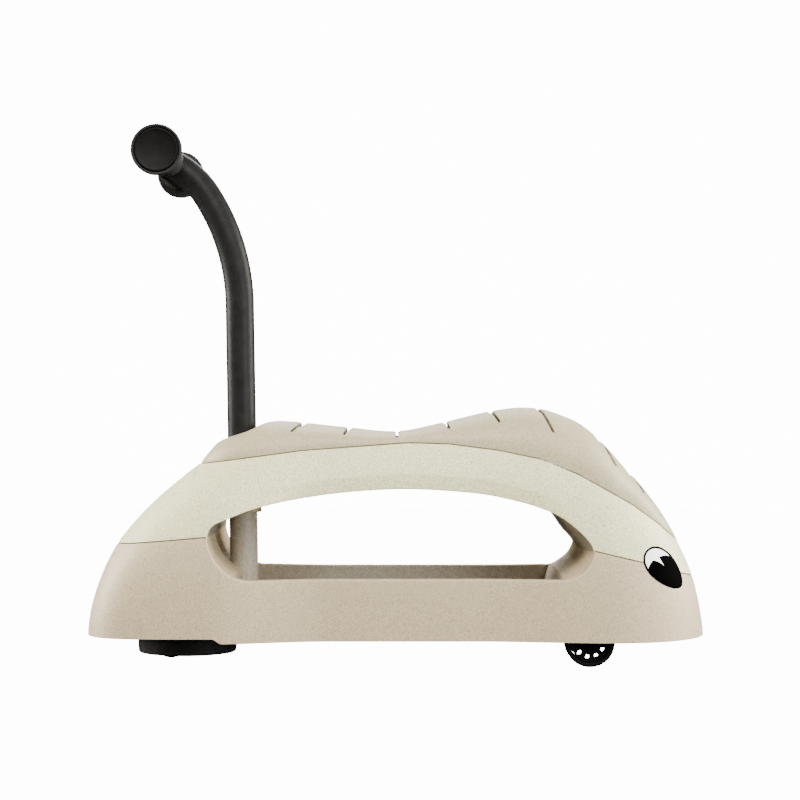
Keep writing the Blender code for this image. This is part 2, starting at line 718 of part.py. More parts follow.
def saddle_solid(name, inset=0.0, drop=0.0, finish=None):
    """The saddle's solid, drawn in by an inset, and with its foot carried down by a drop."""
    fine = np.linspace(TAIL_X, NOSE_X, 2400)
    seam = seat_seam(fine)
    room = np.minimum(seat_top(fine) - seam - 1.2 * inset, SADDLE_TAPER * (skin_y(fine, seam) - 1.5 * inset))
    inside = fine[(room > SADDLE_ROOM) & (seam < crown(fine))]
    places = stations(inside[0], inside[-1], FLOOR_SECTIONS if inset else SADDLE_SECTIONS, knots_of(SEAT_SEAM))
    return loft(name, [seat_loop(x, inset, drop) for x in places], finish)


def groove_blades():
    """The slots pressed across the saddle: slanted blades that stop at one depth under its surface."""
    floor = saddle_solid("groove_floor", inset=GROOVE_DEPTH, drop=3 * PAST)
    blades = []
    for number, (start, end) in enumerate(GROOVES):
        top, foot = Vector(start), Vector(end)
        run = (top - foot).normalized()
        side = Vector((-run.y, run.x)) * GROOVE_WIDTH / 2
        over = top + run * GROOVE_OVER
        narrow, wide = side * GROOVE_FOOT_SHARE, side * GROOVE_TOP_SHARE
        corners = (foot - narrow, foot + narrow, over + wide, over - wide)
        blade = prism(f"groove_{number}", [tuple(c) for c in corners], FAR)
        cut(blade, floor)
        blades.append(blade)
    return blades


def seat_shell():
    """Top moulding: the saddle with its dip, hump and grooves, and the posts its screws go into."""
    sand = material("shell_sand", SHELL_SAND, 0.62)
    seat = saddle_solid("seat_shell", finish=sand)
    hollow = saddle_solid("seat_hollow", inset=SEAT_WALL, drop=3 * PAST)
    for number, (x, y) in enumerate(mirrored(SEAT_SCREWS)):
        core_low = SEAT_POST_TOP - 3 * PAST
        cut(hollow, upright(f"seat_core_{number}", x, y, SCREW_RADIUS + POST_WALL, core_low, ABOVE_SEAT))
    cut(seat, hollow)
    cut(seat, *groove_blades())
    for number, (x, y) in enumerate(mirrored(SEAT_SCREWS)):
        low, high = SEAT_POST_TOP + GAP, float(seat_seam(x)) + SEAT_WALL
        join(seat, upright(f"seat_post_{number}", x, y, SCREW_RADIUS + POST_WALL, low, high))
        cut(seat, upright(f"seat_pilot_{number}", x, y, SCREW_RADIUS + GAP, low - PAST, low + SCREW_LENGTH))
    cut(seat, leaned_rod("handle_hole", TUBE_RADIUS + BORE_GAP, SOCKET_TOP - 2 * PAST, ABOVE_SEAT))
    cut(seat, leaned_rod("socket_room", SOCKET_RADIUS + GAP, SOCKET_TOP - 2 * PAST, SOCKET_TOP + GAP))
    return seat


def handle_socket():
    """Turned cup that holds the handle's foot: its flange sits on the post, under the tunnel's ceiling."""
    low = POST_TOP + GAP
    flange = low + SOCKET_FLANGE
    floor = HANDLE_FOOT_Z - GAP
    bore = TUBE_RADIUS + BORE_GAP
    outline = [
        (0, low), (SOCKET_FLANGE_RADIUS, low), (SOCKET_FLANGE_RADIUS, flange), (SOCKET_RADIUS, flange),
        (SOCKET_RADIUS, SOCKET_TOP), (bore, SOCKET_TOP), (bore, floor), (0, floor),
    ]
    profile = [(radius, (height - HANDLE_FOOT_Z) / math.cos(HANDLE_LEAN)) for radius, height in outline]
    cup = turned("handle_socket", profile, material("shell_tan", SHELL_TAN, 0.62))
    return place(cup, leaned(HANDLE_FOOT_Z), lean_turn())


def screw(name, where, radius, length):
    """A pan-head screw, head down, by the middle of its head's upper face."""
    head = 2 * radius
    profile = ((0, length), (radius, length), (radius, 0), (head, 0), (head, -SCREW_HEAD), (0, -SCREW_HEAD))
    place(turned(name, profile, material("bare_steel", BARE_STEEL, 0.35, 1.0), HOLE_STEPS), where)


def fasteners():
    for number, (x, y) in enumerate(mirrored(BODY_SCREWS), 1):
        screw(f"body_screw_{number}", (x, y, float(base_seam(x)) - POST_WALL - GAP), SCREW_RADIUS, SCREW_LENGTH)
    for number, (x, y) in enumerate(mirrored(SEAT_SCREWS), 1):
        screw(f"seat_screw_{number}", (x, y, SEAT_POST_TOP - POST_WALL - GAP), SCREW_RADIUS, SCREW_LENGTH)
    under = WHEEL_RADIUS - AXLE_RADIUS - CLAMP_THICK - 3 * GAP
    middle = BRACKET_Y + BRACKET_THICK / 2
    places = [(x, side * middle, under) for x in clamp_screw_places() for side in (1, -1)]
    for number, where in enumerate(places, 1):
        screw(f"clamp_screw_{number}", where, CLAMP_SCREW_RADIUS, CLAMP_SCREW_LENGTH)


def flat_sided(radius, steps):
    """The corner radius of a turned piece whose flats lie at the given radius."""
    return radius / math.cos(math.pi / steps)


def roll_turn(side, steps):
    """Turns Z to point outward along Y on one side, with a flat at the bottom."""
    return Matrix.Rotation(math.radians(-90 * side), 4, "X") @ Matrix.Rotation(math.pi / steps + math.pi / 2, 4, "Z")


def axle_clamp(side):
    """Plate under one bracket that closes the slot round the axle."""
    name = f"axle_clamp_{side_name(side)}"
    low_y, high_y = sorted((side * BRACKET_Y, side * (BRACKET_Y + BRACKET_THICK)))
    top = WHEEL_RADIUS - AXLE_RADIUS - 2 * GAP
    plate = block(
        name,
        (AXLE_X - BRACKET_HALF_LENGTH, low_y, top - CLAMP_THICK),
        (AXLE_X + BRACKET_HALF_LENGTH, high_y, top),
        material("shell_tan", SHELL_TAN, 0.62),
    )
    for number, x in enumerate(clamp_screw_places()):
        middle = side * (BRACKET_Y + BRACKET_THICK / 2)
        cut(plate, upright(f"{name}_hole_{number}", x, middle, CLAMP_SCREW_RADIUS + GAP, 0.0, top + 0.01))
    return plate


def front_axle():
    steel = material("bare_steel", BARE_STEEL, 0.35, 1.0)
    half = WHEEL_FACE_Y + AXLE_CAP_THICK - AXLE_CAP_FACE
    return place(rod("front_axle", AXLE_RADIUS, -half, half, steel, SMALL_STEPS), (AXLE_X, 0, WHEEL_RADIUS), across())


def push_cap(name, radius, bore, start, finish):
    """A blind cap on an axle's end, from a start along the axle outward."""
    end = start + AXLE_CAP_THICK
    inner = end - AXLE_CAP_FACE
    profile = ((0, inner), (bore, inner), (bore, start), (radius, start), (radius, end - AXLE_CAP_FACE), (bore, end), (0, end))
    return turned(name, profile, finish, SMALL_STEPS)


def wheel_side(side):
    """One front wheel: a rubber tyre on a slotted hub, with the spacer inside it and the cap outside."""
    name = side_name(side)
    plastic = material("black_plastic", BLACK_PLASTIC, 0.45)
    centre = empty(f"front_wheel_axis_{name}", (AXLE_X, 0, WHEEL_RADIUS))
    bore = AXLE_RADIUS + GAP
    turn = roll_turn(side, WHEEL_STEPS)
    inner, outer = WHEEL_FACE_Y - WHEEL_WIDTH, WHEEL_FACE_Y

    tread = flat_sided(WHEEL_RADIUS, WHEEL_STEPS)
    shoulder = tread - TYRE_ROUND
    profile = (
        (TYRE_INNER_RADIUS, inner), (shoulder, inner), (tread, inner + TYRE_ROUND), (tread, outer - TYRE_ROUND),
        (shoulder, outer), (TYRE_INNER_RADIUS, outer),
    )
    tyre = turned(f"front_tyre_{name}", profile, material("black_rubber", BLACK_RUBBER, 0.7), WHEEL_STEPS)
    place(tyre, centre.location, turn, centre)

    rim = TYRE_INNER_RADIUS - GAP
    rim_inner = rim - HUB_RIM
    face = outer - HUB_RECESS
    back = face - HUB_WEB
    profile = (
        (bore, inner), (HUB_BOSS_RADIUS, inner), (HUB_BOSS_RADIUS, back), (rim_inner, back), (rim_inner, inner),
        (rim, inner), (rim, outer), (rim_inner, outer), (rim_inner, face), (HUB_BOSS_RADIUS, face),
        (HUB_BOSS_RADIUS, outer), (bore, outer),
    )
    hub = turned(f"front_hub_{name}", profile, plastic, WHEEL_STEPS)
    slots = slot_cutters(f"hub_slots_{name}", back - THIN, face + THIN)
    place(slots, centre.location, Matrix.Rotation(math.radians(-90 * side), 4, "X"), centre)
    cut(hub, slots)
    place(hub, centre.location, turn, centre)

    spacer_start, spacer_end = BRACKET_Y + BRACKET_THICK + GAP, inner - GAP
    ring = ((bore, spacer_start), (HUB_BOSS_RADIUS, spacer_start), (HUB_BOSS_RADIUS, spacer_end), (bore, spacer_end))
    spacer = turned(f"axle_spacer_{name}", ring, material("nylon", NYLON_WHITE, 0.5), SMALL_STEPS)
    place(spacer, centre.location, Matrix.Rotation(math.radians(-90 * side), 4, "X"))
    cap = push_cap(f"axle_cap_{name}", AXLE_CAP_RADIUS, bore, outer + GAP, plastic)
    place(cap, centre.location, Matrix.Rotation(math.radians(-90 * side), 4, "X"))


def slot_cutters(name, low, high):
    """The see-through slots of a hub as blocks round its axis."""
    shape = bmesh.new()
    middle = (SLOT_INNER_RADIUS + SLOT_OUTER_RADIUS) / 2
    size = (SLOT_OUTER_RADIUS - SLOT_INNER_RADIUS, SLOT_WIDTH, high - low, 1)
    for number in range(SLOT_COUNT):
        turn = Matrix.Rotation(SLOT_TURN + number * 2 * math.pi / SLOT_COUNT, 4, "Z")
        where = turn @ Matrix.Translation((middle, 0, (low + high) / 2)) @ Matrix.Diagonal(size)
        bmesh.ops.create_cube(shape, size=1.0, matrix=where)
    mesh = bpy.data.meshes.new(name)
    shape.to_mesh(mesh)
    shape.free()
    obj = bpy.data.objects.new(name, mesh)
    bpy.context.scene.collection.objects.link(obj)
    return obj


def caster_hood():
    """Round hood with the hub its pin is pressed in and the rib that carries the twin wheels."""
    plastic = material("black_plastic", BLACK_PLASTIC, 0.45)
    step = math.radians(45)
    rounding = [
        (HOOD_FOOT_RADIUS - HOOD_ROUND * (1 - math.sin(n * step)), HOOD_RIM_Z + HOOD_ROUND * (1 - math.cos(n * step)))
        for n in range(3)
    ]
    under = HOOD_TOP_Z - HOOD_PLATE
    inner = HOOD_RADIUS - HOOD_WALL
    bore = PIN_RADIUS + GAP
    profile = rounding + [
        (HOOD_RADIUS, under), (HOOD_RADIUS - HOOD_PLATE, HOOD_TOP_Z),
        (HOOD_HUB_RADIUS, HOOD_TOP_Z), (HOOD_HUB_RADIUS, HOOD_HUB_TOP), (bore, HOOD_HUB_TOP),
        (bore, PIN_FOOT_Z - GAP), (0, PIN_FOOT_Z - GAP), (0, under), (inner - HOOD_WALL, under),
        (inner, under - HOOD_WALL), (HOOD_FOOT_RADIUS - HOOD_WALL, HOOD_RIM_Z + HOOD_ROUND),
        (HOOD_FOOT_RADIUS - HOOD_ROUND, HOOD_RIM_Z + HOOD_ROUND / 4),
    ]
    hood = turned("caster_hood", profile, plastic, HOOD_STEPS)
    place(hood, (CASTER_X, 0, 0))
    axle_x, axle_z = CASTER_X - CASTER_TRAIL, CASTER_WHEEL_RADIUS
    reach = CASTER_FORK_REACH
    arc = [math.radians(a) for a in range(180, 361, 30)]
    outline = [(axle_x + reach * math.cos(a), axle_z + reach * math.sin(a)) for a in arc]
    outline += [(CASTER_X + reach, under + HOOD_PLATE / 2), (axle_x - CASTER_FORK_SPLAY * reach, under + HOOD_PLATE / 2)]
    fork = prism("caster_fork", outline, CASTER_FORK / 2)
    join(hood, fork)
    hole = rod("caster_axle_hole", CASTER_AXLE_RADIUS + GAP, -2 * PAST, 2 * PAST, steps=SMALL_STEPS)
    cut(hood, place(hole, (axle_x, 0, axle_z), across()))
    return hood


def caster():
    """The swivelling unit: hood, pin, twin wheels on their axle, and the bushing and clip that hold the pin."""
    steel = material("bare_steel", BARE_STEEL, 0.35, 1.0)
    nylon = material("nylon", NYLON_WHITE, 0.5)
    swivel = empty("caster_swivel_axis", (CASTER_X, 0, 0))
    hood = caster_hood()
    hood.parent = swivel
    hood.matrix_basis = Matrix.Identity(4)

    clip_low = CASTER_BOSS_TOP + GAP
    clip_high = clip_low + CLIP_THICK
    neck = PIN_RADIUS - PIN_GROOVE
    top = clip_high + GAP + PIN_END
    profile = (
        (0, PIN_FOOT_Z), (PIN_RADIUS, PIN_FOOT_Z), (PIN_RADIUS, clip_low - GAP), (neck, clip_low - GAP),
        (neck, clip_high + GAP), (PIN_RADIUS, clip_high + GAP), (PIN_RADIUS, top), (0, top),
    )
    place(turned("caster_pin", profile, steel, SMALL_STEPS), swivel.location, parent=swivel)
    ring = ((neck + GAP, clip_low), (CLIP_RADIUS, clip_low), (CLIP_RADIUS, clip_high), (neck + GAP, clip_high))
    place(turned("caster_clip", ring, steel, SMALL_STEPS), swivel.location, parent=swivel)

    flange_low = HOOD_HUB_TOP + GAP
    flange_high = flange_low + BUSHING_FLANGE
    bore = PIN_RADIUS + GAP
    profile = (
        (bore, flange_low), (BUSHING_FLANGE_RADIUS, flange_low), (BUSHING_FLANGE_RADIUS, flange_high),
        (BUSHING_RADIUS, flange_high), (BUSHING_RADIUS, CASTER_BOSS_TOP), (bore, CASTER_BOSS_TOP),
    )
    place(turned("caster_bushing", profile, nylon, SMALL_STEPS), (CASTER_X, 0, 0))

    centre = (CASTER_X - CASTER_TRAIL, 0, CASTER_WHEEL_RADIUS)
    start = CASTER_FORK / 2 + GAP
    end = start + CASTER_WHEEL_WIDTH
    half = end + AXLE_CAP_THICK - AXLE_CAP_FACE - HUB_RECESS
    axle = rod("caster_axle", CASTER_AXLE_RADIUS, -half, half, steel, SMALL_STEPS)
    place(axle, centre, across(), swivel)
    for side in (1, -1):
        caster_wheel(side, centre, start, end, swivel)


def caster_wheel(side, centre, start, end, swivel):
    name = side_name(side)
    plastic = material("black_plastic", BLACK_PLASTIC, 0.45)
    axis = empty(f"caster_wheel_axis_{name}", centre)
    tread = flat_sided(CASTER_WHEEL_RADIUS, CASTER_STEPS)
    bore = CASTER_AXLE_RADIUS + GAP
    lip = tread - 2 * TYRE_ROUND
    profile = (
        (bore, start), (tread - TYRE_ROUND, start), (tread, start + TYRE_ROUND), (tread, end - TYRE_ROUND),
        (tread - TYRE_ROUND, end), (lip, end), (AXLE_CAP_RADIUS, end - HUB_RECESS), (bore, end - HUB_RECESS),
    )
    wheel = turned(f"caster_wheel_{name}", profile, material("black_rubber", BLACK_RUBBER, 0.7), CASTER_STEPS)
    place(wheel, centre, roll_turn(side, CASTER_STEPS), axis)
    cap = push_cap(
        f"caster_cap_{name}", AXLE_CAP_RADIUS - HUB_RIM, bore, end - HUB_RECESS + GAP, plastic
    )
    place(cap, centre, Matrix.Rotation(math.radians(-90 * side), 4, "X"), swivel)


def handle_path():
    """The tube's centre line in the handle's own frame: straight up, a long bend back, then a short one."""
    points = [(0.0, PLUG_THICK + GAP, 0.0), (0.0, TUBE_STRAIGHT, 0.0)]
    x, z, angle = 0.0, TUBE_STRAIGHT, 0.0
    for radius, turn, steps in ((BEND_RADIUS, BEND_ANGLE, BEND_STEPS), (TOP_BEND_RADIUS, TOP_BEND_ANGLE, BEND_STEPS)):
        for number in range(1, steps + 1):
            now = angle + turn * number / steps
            points.append((
                x - radius * (math.cos(angle) - math.cos(now)), z + radius * (math.sin(now) - math.sin(angle)), now
            ))
        x, z, angle = points[-1]
    return points


def bent_tube(name, path, outer, inner, finish):
    """A hollow tube along a path in the XZ plane, given as (x, z, angle from upright)."""
    steps = TUBE_STEPS
    around = np.linspace(0, 2 * math.pi, steps, endpoint=False)
    walls = []
    for radius in (outer, inner):
        for x, z, angle in path:
            out = np.cos(around) * radius
            walls.append(np.stack((x + out * math.cos(angle), np.sin(around) * radius, z + out * math.sin(angle)), axis=1))
    count = len(path)
    order = list(range(count)) + list(range(2 * count - 1, count - 1, -1))
    faces = []
    for a, b in zip(order, order[1:] + order[:1]):
        for c in range(steps):
            d = (c + 1) % steps
            faces.append((a * steps + c, a * steps + d, b * steps + d, b * steps + c))
    tube = mesh_object(name, np.concatenate(walls), faces, finish)
    tube.data.shade_smooth()
    tube.data.set_sharp_from_angle(angle=math.radians(35))
    return tube


def handle():
    """The T handle, as one unit that lifts out of its socket along its own straight axis."""
    steel = material("black_steel", BLACK_STEEL, 0.38, 0.2)
    plastic = material("black_plastic", BLACK_PLASTIC, 0.45)
    foot = empty("handle_axis", (HANDLE_FOOT_X, 0, HANDLE_FOOT_Z))
    foot.matrix_basis = Matrix.Translation((HANDLE_FOOT_X, 0, HANDLE_FOOT_Z)) @ lean_turn()
    path = handle_path()
    tube = bent_tube("handle_tube", path, TUBE_RADIUS, TUBE_RADIUS - TUBE_WALL, steel)
    tube.parent = foot
    end_x, end_z, _ = path[-1]
    bar_place = Matrix.Translation((end_x, 0, end_z))
    cope = rod("handle_cope", CROSSBAR_RADIUS + GAP, -5 * PAST, 5 * PAST, steps=GRIP_STEPS)
    cope.parent = foot
    cope.matrix_basis = bar_place @ across()
    cut(tube, cope)

    half = GRIP_END - CAP_THICK - GAP
    inside = CROSSBAR_RADIUS - TUBE_WALL
    ring = ((inside, -half), (CROSSBAR_RADIUS, -half), (CROSSBAR_RADIUS, half), (inside, half))
    bar = turned("handle_crossbar", ring, steel, GRIP_STEPS)
    bar.parent = foot
    bar.matrix_basis = bar_place @ across()

    plug_radius = TUBE_RADIUS - TUBE_WALL - GAP
    profile = ((0, 0), (TUBE_RADIUS, 0), (TUBE_RADIUS, PLUG_THICK), (plug_radius, PLUG_THICK), (plug_radius, PLUG_DEPTH), (0, PLUG_DEPTH))
    turned("tube_plug", profile, plastic, TUBE_STEPS).parent = foot
    for side in (1, -1):
        grip(side, foot, bar_place @ Matrix.Rotation(math.radians(-90 * side), 4, "X"))


def grip(side, foot, where):
    """A rubber grip with its round end flange, and the dished cap plugged in its end."""
    name = side_name(side)
    bore = CROSSBAR_RADIUS + GAP
    seat = GRIP_END - CAP_THICK - GAP
    flange = GRIP_END - FLANGE_THICK
    profile = (
        (bore, GRIP_START), (GRIP_RADIUS - GRIP_ROUND, GRIP_START), (GRIP_RADIUS, GRIP_START + GRIP_ROUND),
        (GRIP_RADIUS, flange - 2 * GRIP_ROUND), (GRIP_RADIUS + 2 * GRIP_ROUND, flange),
        (FLANGE_RADIUS - GRIP_ROUND, flange), (FLANGE_RADIUS, flange + GRIP_ROUND),
        (FLANGE_RADIUS, GRIP_END - GRIP_ROUND), (FLANGE_RADIUS - GRIP_ROUND, GRIP_END),
        (CAP_RADIUS + GAP, GRIP_END), (CAP_RADIUS + GAP, seat), (bore, seat),
    )
    sleeve = turned(f"grip_{name}", profile, material("black_rubber", BLACK_RUBBER, 0.7), GRIP_STEPS)
    plug = CROSSBAR_RADIUS - TUBE_WALL - GAP
    low = seat + GAP
    profile = (
        (0, low - PLUG_DEPTH), (plug, low - PLUG_DEPTH), (plug, low), (CAP_RADIUS, low), (CAP_RADIUS, GRIP_END - CAP_DISH),
        (CAP_RADIUS - CAP_DISH, GRIP_END), (CAP_RADIUS - 2 * CAP_DISH, GRIP_END), (CAP_RADIUS / 2, GRIP_END - CAP_DISH),
        (0, GRIP_END - CAP_MIDDLE_DISH),
    )
    cap = turned(f"grip_cap_{name}", profile, material("black_plastic", BLACK_PLASTIC, 0.45), GRIP_STEPS)
    for piece in (sleeve, cap):
        piece.parent = foot
        piece.matrix_basis = where


def eye(side):
    """A thin egg-shaped plate that follows the flank across the base seam."""
    angle = np.linspace(0, 2 * math.pi, EYE_STEPS, endpoint=False)
    along = Vector((math.cos(EYE_TURN), math.sin(EYE_TURN)))
    loops = []
    for offset, shares in ((EYE_GAP, EYE_RINGS), (EYE_GAP + EYE_THICK, EYE_RINGS[::-1])):
        for share in shares:
            u = EYE_LENGTH * share * np.cos(angle)
            v = EYE_BREADTH * share * np.sin(angle) * (1 - EYE_TAPER * np.cos(angle))
            x = EYE_CENTRE[0] + u * along.x - v * along.y
            z = EYE_CENTRE[1] + u * along.y + v * along.x
            loops.append(np.stack((x, side * (skin_y(x, z) + offset), z), axis=1))
    return loft(f"eye_{side_name(side)}", loops, material("eye_black", EYE_BLACK, 0.3))


def build_all():
    clear_scene()
    base_shell()
    deck_plate()
    handle_post()
    arch_shell()
    seat_shell()
    handle_socket()
    fasteners()
    for side in (1, -1):
        axle_clamp(side)
        wheel_side(side)
        eye(side)
    front_axle()
    caster()
    handle()


build_all()
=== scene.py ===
"""Looks of the ride-on walker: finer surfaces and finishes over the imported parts, with a pale studio round them."""

import math

import bmesh
import bpy
import numpy as np
from bpy.props import FloatProperty, FloatVectorProperty, IntProperty, PointerProperty
from bpy.types import Operator, Panel, PropertyGroup
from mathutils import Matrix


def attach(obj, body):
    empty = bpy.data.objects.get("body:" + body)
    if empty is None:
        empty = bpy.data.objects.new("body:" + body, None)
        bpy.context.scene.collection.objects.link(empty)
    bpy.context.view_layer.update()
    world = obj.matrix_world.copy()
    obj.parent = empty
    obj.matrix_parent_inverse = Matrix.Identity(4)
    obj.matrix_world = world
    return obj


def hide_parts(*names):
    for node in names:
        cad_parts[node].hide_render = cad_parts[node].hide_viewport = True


bl_info = {
    "name": "Ride-on walker",
    "version": (1, 0, 0),
    "blender": (4, 5, 0),
    "location": "3D View > Sidebar > Walker",
    "description": "Shells, wheels, caster and push handle of a ride-on walker, with their finishes",
    "category": "Object",
}

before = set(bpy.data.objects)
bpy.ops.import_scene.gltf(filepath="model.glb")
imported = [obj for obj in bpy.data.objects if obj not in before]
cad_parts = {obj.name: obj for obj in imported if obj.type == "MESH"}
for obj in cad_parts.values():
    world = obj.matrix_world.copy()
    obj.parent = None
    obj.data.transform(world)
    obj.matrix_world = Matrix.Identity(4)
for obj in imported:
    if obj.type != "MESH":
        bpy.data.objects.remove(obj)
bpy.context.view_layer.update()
GAP = 0.0003
SEAM_GAP = 0.0009

# Plan of the body
TAIL_X = -0.2945
NOSE_X = 0.300
REAR_X = -0.175
REAR_HALF = 0.121
WAIST_REAR_X = -0.065
WAIST_HALF = 0.096
WAIST_FRONT_X = 0.080
FRONT_X = 0.200
FRONT_HALF = 0.112
TAIL_POWER = 4.5
NOSE_POWER = 2.2
SHOULDER_POWER = 3.6

# Side view of the body: top line and seams, as (x, z)
CROWN_LINE = (
    (TAIL_X, 0.012), (-0.2940, 0.0395), (-0.2855, 0.0735), (-0.2670, 0.1136), (-0.2380, 0.1482),
    (-0.2095, 0.1734), (-0.1850, 0.1915), (-0.1200, 0.2200), (-0.0400, 0.2360), (0.0500, 0.2420),
    (0.1050, 0.2435), (0.1390, 0.2421), (0.1590, 0.2361), (0.1780, 0.2276), (0.1978, 0.2110),
    (0.2170, 0.1897), (0.2363, 0.1685), (0.2558, 0.1423), (0.2712, 0.1153), (0.2847, 0.0860),
    (0.2946, 0.0484), (NOSE_X, 0.012),
)
BASE_SEAM = ((-0.3000, 0.1105), (-0.1750, 0.1220), (0.1845, 0.1090), (0.2300, 0.0980), (0.3050, 0.0755))
SEAT_SEAM = (
    (-0.2100, 0.1860), (-0.1835, 0.1890), (-0.0900, 0.2015), (0.0110, 0.2090), (0.0500, 0.2080),
    (0.0970, 0.2020), (0.1360, 0.1940), (0.1710, 0.1800), (0.2210, 0.1520), (0.2450, 0.1350),
    (0.2780, 0.1080),
)
SEAT_TOP = (
    (-0.2000, 0.1757), (-0.1906, 0.1876), (-0.1813, 0.1994), (-0.1721, 0.2095), (-0.1628, 0.2137),
    (-0.1493, 0.2180), (-0.1408, 0.2213), (-0.1308, 0.2264), (-0.1223, 0.2289), (-0.1088, 0.2294),
    (-0.0480, 0.2234), (0.0010, 0.2195), (0.0430, 0.2274), (0.0890, 0.2384), (0.1196, 0.2427),
    (0.1390, 0.2421),
)
SEAT_EDGE_POWER = 2.8
LEAN_ROUNDS = 16
SKIRT_Z = 0.0235
SKIRT_RISE = 0.0045
RISE_FRONT_X = -0.161
RISE_REAR_X = -0.1705
NOSE_FOOT_ROUND = 0.0035
NOSE_FOOT_X = 0.2988
SILL_Z = 0.0820
WINDOW = (
    (-0.1750, 0.1220), (-0.1720, 0.1310), (-0.1540, 0.1400), (-0.1250, 0.1500), (-0.0650, 0.1608),
    (0.0000, 0.1658), (0.0500, 0.1642), (0.0975, 0.1584), (0.1500, 0.1425), (0.1778, 0.1205),
    (0.1845, 0.1090), (0.1825, 0.1000), (0.1740, 0.0885), (0.1570, SILL_Z), (0.1480, SILL_Z),
    (-0.1290, SILL_Z), (-0.1380, SILL_Z), (-0.1530, 0.0865), (-0.1660, 0.0985), (-0.1730, 0.1110),
)
WINDOW_FRONT = 10
TRAY_Z = 0.060
UNDER_Z = 0.057
SHELL_WALL = 0.003
RIM_WIDTH = 0.012
TRAY_REAR_X = -0.150
TRAY_FRONT_X = 0.152
PLATE_REAR_X = -0.131
PLATE_FRONT_X = 0.1460
PLATE_SINK = 0.0032

# Grooves across the saddle: where each starts on the crest and ends on the flank, as (x, z)
GROOVES = (
    ((-0.0914, 0.2274), (-0.0995, 0.2208)),
    ((-0.0465, 0.2225), (-0.0493, 0.2180)),
    ((0.0010, 0.2195), (0.0010, 0.2150)),
    ((0.0484, 0.2290), (0.0505, 0.2235)),
    ((0.0929, 0.2390), (0.0984, 0.2297)),
    ((0.1385, 0.2425), (0.1484, 0.2208)),
    ((0.1950, 0.2150), (0.2077, 0.1890)),
    ((0.2244, 0.1820), (0.2356, 0.1626)),
)

# How the sections of the shells are cut
FULL_COLUMNS = 400
OPENING_REAR_X = -0.1745
OPENING_FRONT_X = 0.1820
THIN_EDGE = 0.0012
CLEAR = 0.00002
BASE_ROWS = 34
BASE_FOOT = 0.0008
BASE_EDGE = 0.0004
TRAY_ROWS = 22
ARCH_ROWS = 60
SEAT_ROWS = 48
PLATE_ROUND = 0.0006
TRAY_FOOT = ((0.0, 0.4), (0.0, 0.7), (-0.0002, 0.93), (-0.0010, 0.985), (-0.0025, 1.0))
TRAY_FOOT_REACH = 0.0027
PLATE_REACH = 0.0029
SILL_LEAST = 0.0020
RECESS_HALF = 0.0170
RECESS_ROUND = 0.0015
LEAST_SPAN = 0.0010
GROOVE_END_SLOPE = (-0.0006, 0.0002)
GROOVE_CREST = (0.7, 1.0)

# Where forms fade in and out along x: each slope runs from its first place to its second
BULGE_SLOPE = (0.148, 0.174)
BAND_SLOPES = ((-0.135, -0.085), (0.176, 0.120))
RECESS_SLOPES = ((-0.1752, -0.1748), (-0.158, -0.168))
TRAY_SLOPES = ((TRAY_REAR_X - 0.0005, TRAY_REAR_X + 0.003), (TRAY_FRONT_X + 0.006, TRAY_FRONT_X - 0.005))
POCKET_SLOPES = ((PLATE_REAR_X - 0.0002, PLATE_REAR_X), (PLATE_FRONT_X + 0.0002, PLATE_FRONT_X))
WEB_SLOPES = ((PLATE_REAR_X - 0.004, PLATE_REAR_X - 0.002), (PLATE_FRONT_X + 0.004, PLATE_FRONT_X + 0.002))

# Where sections crowd, as (place, reach, strength), and round the tips as (reach, strength)
BASE_FOCUS = (
    (TRAY_REAR_X, 0.004, 5), (TRAY_FRONT_X, 0.008, 4), (OPENING_REAR_X, 0.002, 2), (PLATE_REAR_X, 0.0012, 8),
    (PLATE_FRONT_X, 0.0012, 8),
)
BASE_TAIL_FOCUS = (-0.180, 0.008, 2)
BASE_TIPS = ((0.003, 16), (0.014, 4))
ARCH_FOCUS = ((OPENING_REAR_X, 0.003, 2), (OPENING_FRONT_X, 0.006, 1.5))
ARCH_TAIL_FOCUS = (-0.190, 0.010, 2)
ARCH_TIP = (0.004, 9)
GROOVE_FOCUS = (0.0032, 18)
SEAT_TIP = (0.006, 5)

# Push handle
HANDLE_FOOT_X = -0.1497
HANDLE_FOOT_Z = 0.1503
HANDLE_LEAN = math.radians(0.97)
TUBE_RADIUS = 0.0140
TUBE_STRAIGHT = 0.1935
BEND_RADIUS = 0.204
BEND_ANGLE = math.radians(32)
TOP_BEND_RADIUS = 0.084
TOP_BEND_ANGLE = math.radians(33)
CROSSBAR_RADIUS = 0.0137
GRIP_RADIUS = 0.0158
GRIP_START = 0.019
GRIP_END = 0.1185
FLANGE_RADIUS = 0.0238
FLANGE_THICK = 0.007
CAP_RADIUS = 0.0203
POST_RADIUS = 0.01375
POST_TOP = 0.1400
POST_SEAT = 0.0015
SOCKET_FLANGE_RADIUS = 0.0180
SOCKET_FLANGE = 0.0045
SOCKET_RADIUS = 0.0168
SOCKET_HEIGHT = 0.0575
DISC_SEAT = 0.0034
DISC_GAP = 0.0002
GRIP_SLOPE = (0.0040, 0.0025)
BAR_IN_GRIP = 0.0040

